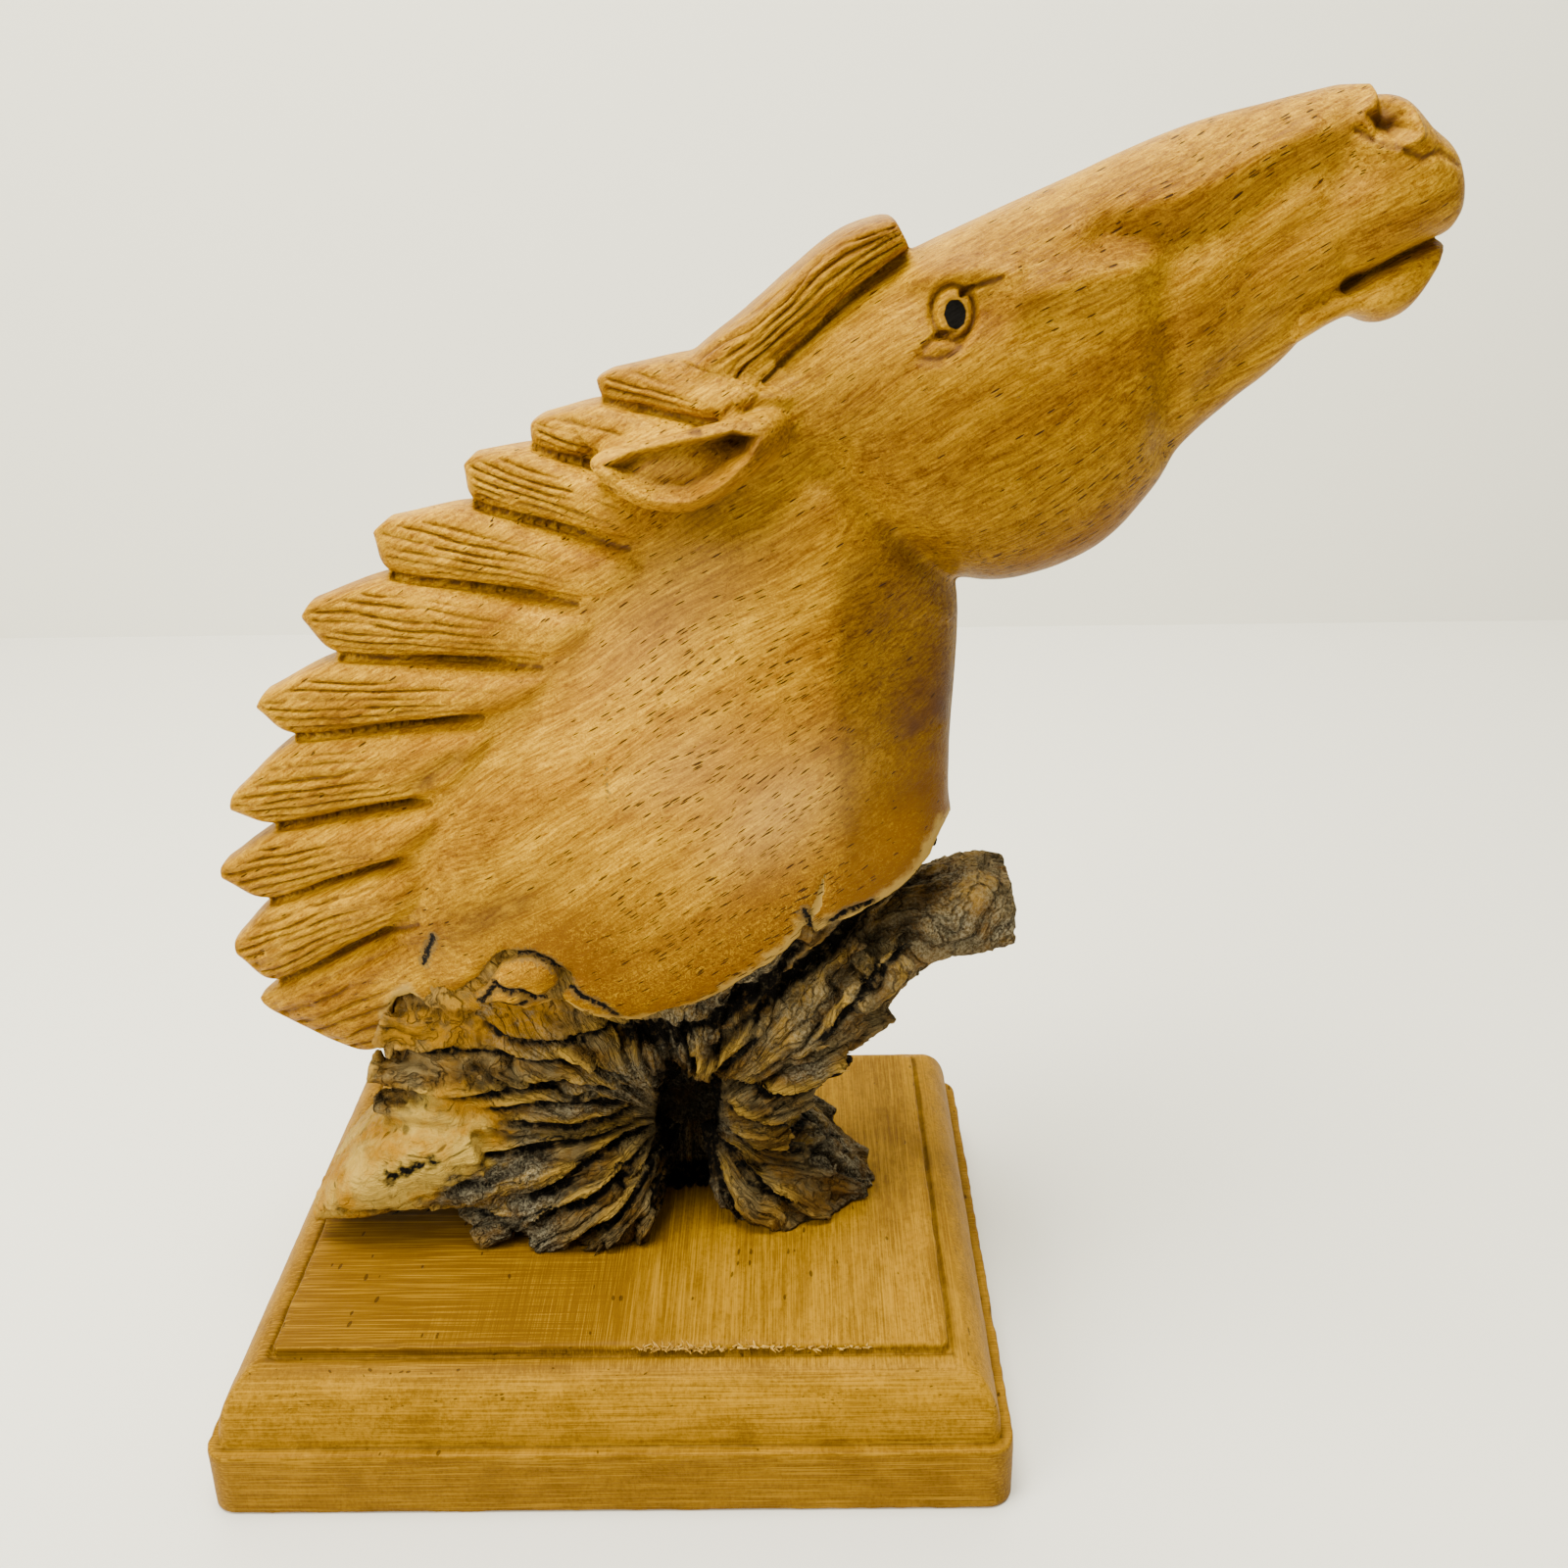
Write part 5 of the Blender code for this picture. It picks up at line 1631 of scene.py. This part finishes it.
def recess_shade_group() -> NodeTree:
    """Build the painted shade that darkens grooves, crevices and the quirk in broken patches, from 0 to 1."""
    inputs = {"Vector": (0.0, 0.0, 0.0), "Depth": 0.0, "Patch size": 1.0, "Strength": 1.0}
    tree, nodes, given, out = new_group("painted_recess_shade", inputs, ["Grime"])
    scale = nodes.math("DIVIDE", 1.0, given.outputs["Patch size"])
    broken = nodes.span(nodes.noise(given.outputs["Vector"], scale, 3.0), 0.25, 0.6, 0.45, 1.0)
    darkening = nodes.times(nodes.times(given.outputs["Depth"], broken), given.outputs["Strength"], clamp=True)
    nodes.put(out.inputs["Grime"], darkening)
    return tree


@dataclass(frozen=True)
class Finish:
    """What every wood finish here has: a name, a roughness and the two shared groups."""

    name: str
    roughness: float
    grain: NodeTree
    recess_shade: NodeTree

    def start(self) -> tuple[Material, Nodes, Socket]:
        """Start the material.

        Returns:
            The material, its nodes, and Object coordinates in millimetres.
        """
        material = bpy.data.materials.new(self.name)
        material.use_nodes = True
        material.node_tree.nodes.clear()
        nodes = Nodes(material.node_tree)
        place = nodes.add("ShaderNodeTexCoord").outputs["Object"]
        return material, nodes, nodes.stretched(place, (1 / MILLIMETRE,) * 3)

    def close(self, nodes: Nodes, colour: Socket, roughness: object, height: Socket, bump: float,
              specular: object) -> None:
        """Wire the shader.

        Args:
            nodes: the material's nodes.
            colour: base colour.
            roughness: roughness, a socket or a number.
            height: height of the bump, in millimetres.
            bump: strength of the bump.
            specular: specular level, a socket or a number.
        """
        shader = nodes.add("ShaderNodeBsdfPrincipled")
        nodes.put(shader.inputs["Base Color"], colour)
        nodes.put(shader.inputs["Roughness"], roughness)
        nodes.put(shader.inputs["Specular IOR Level"], specular)
        relief = nodes.add("ShaderNodeBump")
        nodes.put(relief.inputs["Strength"], bump)
        nodes.put(relief.inputs["Distance"], MILLIMETRE)
        nodes.put(relief.inputs["Height"], height)
        nodes.put(shader.inputs["Normal"], relief.outputs[0])
        output = nodes.add("ShaderNodeOutputMaterial")
        nodes.put(output.inputs["Surface"], shader.outputs[0])


@dataclass(frozen=True)
class PolishedWood(Finish):
    """Oiled and polished golden wood. Colours are linear."""

    # bright is the wood in full painted light, and the colour below it is the wood in painted shade; tone
    # blends them
    bright: Colour = (0.480, 0.240, 0.003)
    painted_shade: Colour = (0.180, 0.084, 0.001)
    light: Colour = (1.55, 1.65, 2.00)
    dark: Colour = (0.58, 0.46, 0.35)
    amber: Colour = (0.165, 0.063, 0.001)
    purple: Colour = (0.075, 0.028, 0.008)
    sheen: Colour = (0.400, 0.230, 0.090)
    lip: Colour = (0.420, 0.270, 0.060)
    pore: Colour = (0.025, 0.009, 0.002)
    ash: Colour = (0.120, 0.080, 0.028)
    soot: Colour = (0.003, 0.0025, 0.002)
    grain_slope: float = 30.0

    def build(self) -> Material:
        """Return the material."""
        material, nodes, place = self.start()
        turned = nodes.add("ShaderNodeVectorRotate", rotation_type="Y_AXIS")
        nodes.put(turned.inputs["Vector"], place)
        nodes.put(turned.inputs["Angle"], math.radians(self.grain_slope))
        along = turned.outputs[0]
        pored = nodes.times(nodes.field("pored"), 0.70)
        grain = nodes.group(self.grain, vector=along, figure_width=9.0, pore_length=3.8, pore_width=0.46,
                            pore_share=pored)
        figure, streak, pore = grain.outputs
        # Painted light and shade, blotches and grain
        colour = nodes.blend(nodes.field("tone"), self.painted_shade, self.bright)
        blotch = nodes.noise(place, 0.055, 3.0, 0.6)
        curls = nodes.noise(place, 0.9, 3.0, 0.65, 2.2)
        for layer in ((blotch, 0.50, 0.30, 0.45, self.dark), (figure, 0.6, 0.0, 0.60, self.dark),
                      (figure, 0.5, 1.0, 0.35, self.light), (streak, 0.5, 1.0, 0.75, self.light),
                      (streak, 0.5, 0.0, 0.85, self.dark), (curls, 0.52, 0.32, 0.80, self.dark),
                      (curls, 0.52, 0.70, 0.45, self.light)):
            colour = nodes.tint(colour, *layer, "MULTIPLY")
        # Amber stains, purple streaks with painted shade, the painted sheen highlight and the pale band along
        # the live edge
        amber = nodes.times(nodes.field("amber"), nodes.span(curls, 0.64, 0.40, 0.40, 1.1), clamp=True)
        colour = nodes.blend(amber, colour, self.amber)
        # Purple streaks, and painted shade on the neck's front edge and under the facial crest
        mottled = nodes.span(nodes.noise(along, 0.10, 3.0, 0.6), 0.35, 0.65, 0.25, 0.75)
        purple = nodes.times(nodes.field("shade"), mottled, clamp=True)
        colour = nodes.blend(purple, colour, self.purple)
        # Painted highlight where the neck shines
        sheen = nodes.times(nodes.field("sheen"), 0.42, clamp=True)
        colour = nodes.blend(sheen, colour, self.sheen)
        ragged = nodes.scaled(nodes.noise(place, 0.22, 4.0, 0.6), 7.0, nodes.field("edge"))
        band = nodes.span(ragged, 6.8, 4.4, 0.0, 0.80)
        colour = nodes.blend(band, colour, self.lip)
        # Pores, painted shade in the grooves and hollows, black cracks and the eye
        colour = nodes.blend(nodes.times(pore, 0.95), colour, self.pore)
        off_valley = nodes.math("PINGPONG", nodes.field("comb"), 0.5)
        line = nodes.times(nodes.span(off_valley, 0.20, 0.02), nodes.field("combed"))
        groove = nodes.math("MAXIMUM", nodes.span(nodes.field("groove"), 0.95, 0.15), line)
        recess_shade = nodes.group(self.recess_shade, vector=place, depth=groove, patch_size=2.5, strength=0.85)
        colour = nodes.blend(recess_shade.outputs[0], colour, self.purple)
        hollow = nodes.times(nodes.field("hollow"), 0.85, clamp=True)
        colour = nodes.blend(hollow, colour, self.purple)
        crumbled = nodes.scaled(nodes.noise(place, 1.1, 3.0, 0.65), 3.2, nodes.field("black"))
        colour = nodes.tint(colour, crumbled, 3.4, 2.8, 0.65, self.ash)
        colour = nodes.tint(colour, crumbled, 2.5, 1.9, 1.0, self.soot)
        pupil = nodes.field("pupil")
        # The painted shade colour also darkens a ring round the pupil
        colour = nodes.tint(colour, pupil, -1.1, -0.6, 0.65, self.painted_shade)
        inked = nodes.span(pupil, -0.12, 0.12)
        colour = nodes.blend(inked, colour, self.soot)
        height = nodes.times(pore, -0.25)
        height = nodes.scaled(streak, 0.10, height)
        height = nodes.scaled(line, -0.45, height)
        height = nodes.scaled(nodes.noise(place, 0.5, 3.0, 0.6), 0.22, height)
        rough = nodes.scaled(nodes.noise(along, 0.12, 2.0), 0.22, self.roughness - 0.11)
        rough = nodes.math("ADD", nodes.scaled(band, 0.2, rough), nodes.times(inked, 0.3), clamp=True)
        self.close(nodes, colour, rough, height, 0.8, nodes.span(inked, 0.0, 1.0, 0.06, 0.03))
        return material


@dataclass(frozen=True)
class WeatheredRoot(Finish):
    """Grey-brown root wood with crevices in painted shade and golden worn places partly in painted light.
    Colours are linear.
    """

    brown: Colour = (0.150, 0.075, 0.012)
    grey: Colour = (0.180, 0.125, 0.050)
    deep: Colour = (0.004, 0.0028, 0.0016)
    worn: Colour = (0.420, 0.250, 0.040)
    golden: Colour = (0.340, 0.155, 0.003)
    cream: Colour = (0.440, 0.280, 0.045)
    char: Colour = (0.045, 0.034, 0.022)
    ash: Colour = (0.25, 0.215, 0.14)

    def build(self) -> Material:
        """Return the material."""
        material, nodes, place = self.start()
        fan = nodes.add("ShaderNodeAttribute", attribute_name="fan").outputs["Vector"]
        across, outward, inward = nodes.split(fan)
        along = nodes.combine(nodes.times(outward, 16.0), nodes.times(inward, 8.0), nodes.times(across, 8.0))
        grain = nodes.group(self.grain, vector=along, figure_width=5.0, pore_length=5.0, pore_width=0.7,
                            pore_share=0.30)
        _, streak, pore = grain.outputs
        worn, crevice, gold, cream = (nodes.field(name) for name in ("worn", "crevice", "gold", "cream"))
        # Brown and grey bark, ashen patches, and worn flakes and edges lightened partly as painted light
        patches = nodes.noise(place, 0.12, 4.0, 0.65)
        colour = nodes.blend(nodes.span(patches, 0.38, 0.62), self.brown, self.grey)
        speckled = nodes.noise(place, 1.3, 3.0, 0.7)
        greyed = nodes.blend(nodes.span(speckled, 0.40, 0.60), self.char, self.ash)
        weathering = nodes.times(nodes.field("ashen"), nodes.span(patches, 0.30, 0.55, 0.25, 0.95))
        colour = nodes.blend(weathering, colour, greyed)
        colour = nodes.tint(colour, streak, 0.45, 1.0, 0.50, self.deep)
        lit = nodes.times(worn, nodes.span(patches, 0.66, 0.42, 0.45, 1.4))
        lit = nodes.times(lit, nodes.span(streak, 1.0, 0.3, 0.35, 1.0))
        lit = nodes.times(lit, nodes.scaled(weathering, -0.6, 1.0), clamp=True)
        colour = nodes.blend(lit, colour, self.worn)
        # Golden pads and pale sapwood
        broken = nodes.span(nodes.noise(place, 0.3, 4.0, 0.65), 0.30, 0.55, 0.25, 1.0)
        colour = nodes.blend(nodes.times(gold, broken, clamp=True), colour, self.golden)
        clouds = nodes.noise(place, 0.09, 4.0, 0.6)
        pale = nodes.blend(nodes.span(clouds, 0.38, 0.60), self.golden, self.cream)
        sapwood = nodes.times(cream, nodes.span(broken, 0.25, 0.7, 0.55, 1.0), clamp=True)
        colour = nodes.blend(sapwood, colour, pale)
        colour = nodes.blend(nodes.times(pore, 0.6), colour, self.deep)
        # Splits along the fibres, and painted shade in them and in the crevices
        splits = nodes.add("ShaderNodeTexVoronoi", feature="DISTANCE_TO_EDGE")
        shifts = nodes.combine(*[nodes.noise(place, scale, 2.0) for scale in (0.25, 0.3, 0.35)])
        warp = nodes.stretched(shifts, (0.9, 0.9, 0.9))
        splinters = nodes.stretched(fan, (3.6, 3.6, 2.4))
        nodes.put(splits.inputs["Vector"], nodes.vector("ADD", splinters, warp))
        nodes.put(splits.inputs["Scale"], 1.0)
        split = nodes.span(splits.outputs["Distance"], 0.085, 0.0)
        split = nodes.times(split, nodes.span(cream, 0.0, 1.0, 1.0, 0.35))
        depth = nodes.math("MAXIMUM", crevice, nodes.times(split, 0.45))
        recess_shade = nodes.group(self.recess_shade, vector=place, depth=depth, patch_size=1.8, strength=1.25)
        colour = nodes.blend(recess_shade.outputs[0], colour, self.deep)
        colour = nodes.tint(colour, speckled, 0.64, 0.76, 0.30, self.ash)
        height = nodes.times(streak, -0.35)
        height = nodes.scaled(split, -0.6, height)
        height = nodes.scaled(speckled, 0.45, height)
        rough = nodes.scaled(sapwood, -0.18, self.roughness)
        self.close(nodes, colour, rough, height, 1.0, 0.06)
        return material


@dataclass(frozen=True)
class SandedBoard(Finish):
    """Waxed board wood with sanding marks. Colours are linear, places are millimetres."""

    base: Colour = (0.275, 0.130, 0.002)
    light: Colour = (0.400, 0.210, 0.008)
    dark: Colour = (0.105, 0.045, 0.001)
    darkening: Colour = (0.025, 0.011, 0.002)
    ring_middle: tuple[float, float] = (38.0, -46.0)
    ring_width: float = 6.5

    def build(self) -> Material:
        """Return the material."""
        material, nodes, place = self.start()
        x, y, z = nodes.split(place)
        grain = nodes.group(self.grain, vector=nodes.combine(y, x, z), figure_width=10.0, pore_length=4.0,
                            pore_width=0.4, pore_share=0.07)
        figure, streak, pore = grain.outputs
        # Year rings round a middle below the board
        from_x = nodes.math("SUBTRACT", x, self.ring_middle[0])
        from_z = nodes.math("SUBTRACT", z, self.ring_middle[1])
        far = nodes.math("SQRT", nodes.scaled(from_x, from_x, nodes.times(from_z, from_z)))
        bent = nodes.scaled(nodes.noise(place, 0.02, 2.0), 16.0, far)
        rings = nodes.math("SINE", nodes.times(bent, 2 * math.pi / self.ring_width))
        colour = nodes.blend(nodes.span(figure, 0.0, 1.0, 0.50, 1.0), self.dark, self.base)
        colour = nodes.tint(colour, rings, -1.0, 1.0, 0.30, self.dark)
        colour = nodes.blend(nodes.times(streak, 0.50), colour, self.light)
        blotch = nodes.noise(place, 0.07, 4.0, 0.65)
        colour = nodes.tint(colour, blotch, 0.54, 0.36, 0.40, self.dark)
        flecks = nodes.noise(nodes.stretched(place, (1.3, 0.9, 0.45)), 1.0, 3.0, 0.7)
        colour = nodes.tint(colour, flecks, 0.54, 0.34, 0.45, self.dark)
        # Darker on the left of the top, partly heartwood and partly the painted shadow of the overhanging
        # carving, and the fascia painted darker
        dark_wood_and_shadow = nodes.scaled(nodes.noise(nodes.stretched(place, (0.12, 0.01, 0.02)), 1.0, 4.0), 60.0, x)
        darker = nodes.times(nodes.span(dark_wood_and_shadow, 80.0, 6.0, 0.0, 0.92), nodes.span(z, 30.0, 33.0))
        darker_fascia = nodes.span(z, 17.2, 15.8, 0.0, 0.45)
        colour = nodes.blend(nodes.math("MAXIMUM", darker, darker_fascia), colour, self.dark)
        # Sanding marks, along Y on the right of the top and along X elsewhere
        lines_y = nodes.noise(nodes.stretched(place, (2.6, 0.035, 0.5)), 1.0, 2.0, 0.7)
        lines_x = nodes.noise(nodes.stretched(place, (0.035, 2.6, 2.2)), 1.0, 2.0, 0.7)
        drift = nodes.scaled(nodes.noise(place, 0.03, 2.0), 60.0, x)
        crosswise = nodes.math("MAXIMUM", nodes.span(drift, 44.0, -16.0), nodes.span(z, 32.0, 31.0))
        others = nodes.times(lines_y, nodes.math("SUBTRACT", 1.0, crosswise))
        lines = nodes.math("ADD", nodes.times(lines_x, crosswise), others)
        colour = nodes.tint(colour, lines, 0.48, 0.68, 0.50, self.light)
        colour = nodes.tint(colour, lines, 0.50, 0.32, 0.50, self.dark)
        colour = nodes.blend(nodes.times(pore, 0.7), colour, self.darkening)
        # Painted shade in the quirk and in the fillet's inner corner
        recess_shade = nodes.group(self.recess_shade, vector=place, depth=nodes.field("quirk"), patch_size=4.0,
                            strength=0.85)
        colour = nodes.blend(recess_shade.outputs[0], colour, self.darkening)
        height = nodes.times(lines, 0.16)
        height = nodes.scaled(pore, -0.2, height)
        rough = nodes.scaled(lines, 0.2, self.roughness - 0.1)
        self.close(nodes, colour, rough, height, 0.7, 0.04)
        return material


@dataclass(frozen=True)
class PaleFibre(Finish):
    """Torn wood fibre that catches the light. Colours are linear."""

    pale: Colour = (0.48, 0.29, 0.05)
    shadow: Colour = (0.26, 0.12, 0.004)

    def build(self) -> Material:
        """Return the material."""
        material, nodes, place = self.start()
        grain = nodes.group(self.grain, vector=place, figure_width=3.0, pore_length=3.0, pore_width=0.5,
                            pore_share=0.0)
        streak = grain.outputs["Streak"]
        colour = nodes.blend(streak, self.shadow, self.pale)
        self.close(nodes, colour, self.roughness, nodes.times(streak, 0.1), 0.5, 0.3)
        return material


class GeometryTree(Nodes):
    """A Geometry Nodes tree with named inputs, laid on an object and baked."""

    def __init__(self, name: str, inputs: dict[str, float]) -> None:
        """Start the tree.

        Args:
            name: its name.
            inputs: the name and value of each input.
        """
        super().__init__(bpy.data.node_groups.new(name, "GeometryNodeTree"))
        face = self.tree.interface
        face.new_socket(name="Geometry", in_out="INPUT", socket_type="NodeSocketGeometry")
        self.values = {}
        for label, value in inputs.items():
            kind = "NodeSocketInt" if isinstance(value, int) else "NodeSocketFloat"
            self.values[face.new_socket(name=label, in_out="INPUT", socket_type=kind).identifier] = value
        face.new_socket(name="Geometry", in_out="OUTPUT", socket_type="NodeSocketGeometry")
        self.given = self.add("NodeGroupInput").outputs
        self.out = self.add("NodeGroupOutput")

    def random(self, low: Colour, high: Colour, seed: Socket, shift: int) -> Socket:
        """Return a random vector for each point."""
        node = self.add("FunctionNodeRandomValue", data_type="FLOAT_VECTOR")
        self.put(node.inputs[0], low)
        self.put(node.inputs[1], high)
        self.put(node.inputs["Seed"], self.math("ADD", seed, float(shift)))
        return node.outputs[0]

    def compare(self, operation: str, name: str, value: float) -> Socket:
        """Return where a point attribute is over or under a value."""
        read = self.add("GeometryNodeInputNamedAttribute", data_type="FLOAT")
        read.inputs["Name"].default_value = name
        node = self.add("FunctionNodeCompare", data_type="FLOAT", operation=operation)
        self.put(node.inputs[0], read.outputs[0])
        self.put(node.inputs[1], value)
        return node.outputs[0]

    def cone(self, vertices: int, thickness: Socket, length: Socket) -> Socket:
        """Return a thin cone."""
        node = self.add("GeometryNodeMeshCone")
        for name, value in (("Vertices", vertices), ("Radius Top", 0.0), ("Radius Bottom", thickness),
                            ("Depth", length)):
            self.put(node.inputs[name], value)
        return node.outputs[0]

    def scatter(self, points: Socket, instance: Socket, rotation: Socket, scale: Socket,
                material: Material) -> None:
        """Put an instance on each point, realize them and set their material."""
        placed = self.add("GeometryNodeInstanceOnPoints")
        names = ("Points", "Instance", "Rotation", "Scale")
        for name, value in zip(names, (points, instance, rotation, scale)):
            self.put(placed.inputs[name], value)
        real = self.add("GeometryNodeRealizeInstances")
        self.put(real.inputs[0], placed.outputs[0])
        dressed = self.add("GeometryNodeSetMaterial")
        self.put(dressed.inputs["Geometry"], real.outputs[0])
        dressed.inputs["Material"].default_value = material
        self.put(self.out.inputs[0], dressed.outputs[0])

    def bake(self, carrier: Object, name: str) -> Mesh:
        """Lay the tree on an object, turn the result into a plain mesh and remove the object."""
        modifier = carrier.modifiers.new(name, "NODES")
        modifier.node_group = self.tree
        for identifier, value in self.values.items():
            modifier[identifier] = value
        return baked(carrier, name)


@dataclass(frozen=True)
class TornFibres:
    """Frayed fibres along the upper lip of the plinth's front quirk. Lengths are metres."""

    line: list[Vector]
    count: int = 190
    length: float = 0.0024
    thickness: float = 0.00028
    seed: int = 7

    def build(self, material: Material) -> Object:
        """Make the fibres.

        Args:
            material: their finish.

        Returns:
            The piece.
        """
        tree = GeometryTree("torn_fibres", {"Count": self.count, "Length": self.length,
                                            "Thickness": self.thickness, "Seed": self.seed})
        geometry, count, length, thickness, seed = (tree.given[i] for i in range(5))
        curve = tree.add("GeometryNodeMeshToCurve")
        tree.put(curve.inputs["Mesh"], geometry)
        points = tree.add("GeometryNodeCurveToPoints")
        tree.put(points.inputs["Curve"], curve.outputs[0])
        tree.put(points.inputs["Count"], count)
        shifted = tree.add("GeometryNodeSetPosition")
        tree.put(shifted.inputs["Geometry"], points.outputs[0])
        offset = tree.random((-0.0012, -0.0003, -0.0009), (0.0012, 0.0002, 0.0), seed, 1)
        tree.put(shifted.inputs["Offset"], offset)
        tree.scatter(shifted.outputs[0], tree.cone(4, thickness, length),
                     tree.random((0.3, -1.3, 0.0), (1.5, 1.3, 6.28), seed, 2),
                     tree.random((0.5, 0.5, 0.35), (1.5, 1.5, 1.1), seed, 3), material)
        mesh = bpy.data.meshes.new("quirk_lip")
        mesh.from_pydata(self.line, [(i, i + 1) for i in range(len(self.line) - 1)], [])
        piece = new_object("torn_fibres", tree.bake(new_object("quirk_lip", mesh), "torn_fibres"))
        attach(piece, BODY)
        return piece


@dataclass(frozen=True)
class BarkSplinters:
    """Loose slivers that stand in the crevices of the root. Lengths are metres."""

    density: float = 20_000.0
    length: float = 0.0042
    thickness: float = 0.00042
    seed: int = 12

    def build(self, root: Object, material: Material) -> Object:
        """Scatter the slivers over the root.

        Args:
            root: the finished root foot.
            material: their finish.

        Returns:
            The piece.
        """
        tree = GeometryTree("bark_splinters", {"Density": self.density, "Length": self.length,
                                               "Thickness": self.thickness, "Seed": self.seed})
        geometry, density, length, thickness, seed = (tree.given[i] for i in range(5))
        both = tree.add("FunctionNodeBooleanMath", operation="AND")
        tree.put(both.inputs[0], tree.compare("GREATER_THAN", "crevice", 0.45))
        tree.put(both.inputs[1], tree.compare("LESS_THAN", "edge", -2.0))
        points = tree.add("GeometryNodeDistributePointsOnFaces", distribute_method="RANDOM")
        tree.put(points.inputs["Mesh"], geometry)
        tree.put(points.inputs["Selection"], both.outputs[0])
        tree.put(points.inputs["Density"], density)
        tree.put(points.inputs["Seed"], seed)
        hub = (HUB[0] * SHARE, 0.0, HUB[1] * SHARE + SEAT_Z)
        outward = tree.vector("SUBTRACT", tree.add("GeometryNodeInputPosition").outputs[0], hub)
        outward = tree.vector("NORMALIZE", tree.stretched(outward, (1.0, 0.2, 1.0)))
        lifted = tree.vector("ADD", outward, tree.stretched(points.outputs["Normal"], (0.25, 0.25, 0.25)))
        turned = tree.add("FunctionNodeAlignRotationToVector", axis="Z")
        tree.put(turned.inputs["Vector"], lifted)
        tree.scatter(points.outputs["Points"], tree.cone(5, thickness, length), turned.outputs[0],
                     tree.random((0.7, 0.7, 0.3), (2.2, 1.2, 1.2), seed, 4), material)
        carrier = new_object("root_copy", root.data.copy())
        piece = new_object("bark_splinters", tree.bake(carrier, "bark_splinters"))
        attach(piece, BODY)
        return piece


@dataclass(frozen=True)
class Studio:
    """A pale floor with a backdrop, soft light, and the camera at the photograph's angle."""

    camera_place: tuple[float, float, float] = (0.04279, -0.33473, 0.28421)
    yaw: float = 0.428
    pitch: float = 22.55
    roll: float = 0.787
    lens: float = 36.0
    wall_y: float = 0.60
    half_width: float = 3.0
    floor_colour: Colour = (0.79, 0.77, 0.72)
    wall_colour: Colour = (0.82, 0.80, 0.73)
    lamp_colour: Colour = (1.0, 0.98, 0.84)

    def plain(self, name: str, colour: Colour, roughness: float) -> Material:
        """Return a plain stage material."""
        material = bpy.data.materials.new(name)
        material.use_nodes = True
        shader = material.node_tree.nodes["Principled BSDF"]
        shader.inputs["Base Color"].default_value = (*colour, 1.0)
        shader.inputs["Roughness"].default_value = roughness
        return material

    def sheet(self, name: str, corners: list[tuple[float, float, float]], material: Material) -> None:
        """Make one flat sheet of the stage."""
        mesh = bpy.data.meshes.new(name)
        mesh.from_pydata(corners, [], [tuple(range(len(corners)))])
        mesh.materials.append(material)
        new_object(name, mesh)

    def light(self, name: str, place: tuple[float, float, float], aim: tuple[float, float, float],
              size: float, power: float) -> None:
        """Hang one soft square light."""
        data = bpy.data.lights.new(name, "AREA")
        data.size = size
        data.color = self.lamp_colour
        data.energy = power
        lamp = bpy.data.objects.new(name, data)
        lamp.location = place
        lamp.rotation_euler = (Vector(aim) - Vector(place)).to_track_quat("-Z", "Y").to_euler()
        bpy.context.scene.collection.objects.link(lamp)

    def build(self) -> None:
        """Set up the stage, the lights, the world and the camera."""
        wide, back = self.half_width, self.wall_y
        self.sheet("floor", [(-wide, -wide, 0), (wide, -wide, 0), (wide, back, 0), (-wide, back, 0)],
                   self.plain("pale_floor", self.floor_colour, 0.55))
        self.sheet("backdrop", [(-wide, back, 0), (wide, back, 0), (wide, back, wide), (-wide, back, wide)],
                   self.plain("pale_backdrop", self.wall_colour, 0.9))
        middle = (0.03, 0.0, 0.15)
        self.light("window", (-0.85, -0.70, 0.75), middle, 0.7, 20.0)
        self.light("ceiling", (-0.10, -0.15, 1.35), middle, 0.6, 30.0)
        self.light("backdrop_light", (0.0, 0.10, 1.1), (0.0, 0.6, 0.3), 1.0, 13.0)
        world = bpy.data.worlds.new("room")
        bpy.context.scene.world = world
        world.use_nodes = True
        background = world.node_tree.nodes["Background"]
        background.inputs["Color"].default_value = (*self.lamp_colour, 1.0)
        background.inputs["Strength"].default_value = 0.38
        camera = bpy.data.objects.new("camera", bpy.data.cameras.new("camera"))
        camera.data.lens = self.lens
        camera.data.clip_start = 0.01
        turn = Matrix.Identity(4)
        for degrees, axis in ((self.yaw, "Z"), (-self.pitch, "X"), (self.roll, "Y"), (90.0, "X")):
            turn = turn @ Matrix.Rotation(math.radians(degrees), 4, axis)
        camera.matrix_world = Matrix.Translation(self.camera_place) @ turn
        bpy.context.scene.collection.objects.link(camera)
        bpy.context.scene.camera = camera


def report(piece: Object) -> None:
    """Log one finished piece."""
    piece.data.calc_loop_triangles()
    LOG.info("%s: %d triangles", piece.name, len(piece.data.loop_triangles))


def main() -> None:
    """Build the pieces in order and set up the studio."""
    logging.basicConfig(level=logging.INFO, format="%(message)s")
    Studio().build()
    grain, recess_shade = grain_group(), recess_shade_group()
    polished = PolishedWood("polished_wood", 0.42, grain, recess_shade).build()
    weathered = WeatheredRoot("weathered_root", 0.78, grain, recess_shade).build()
    board = SandedBoard("sanded_board", 0.50, grain, recess_shade).build()
    fibre = PaleFibre("pale_fibre", 0.70, grain, recess_shade).build()
    plinth = MouldedPlinth()
    report(plinth.build(board))
    report(TornFibres(plinth.quirk_lip()).build(fibre))
    report(CarvedHead().build(polished))
    root = RootFoot().build(weathered)
    report(root)
    report(BarkSplinters().build(root, weathered))


if __name__ == "__main__":
    main()
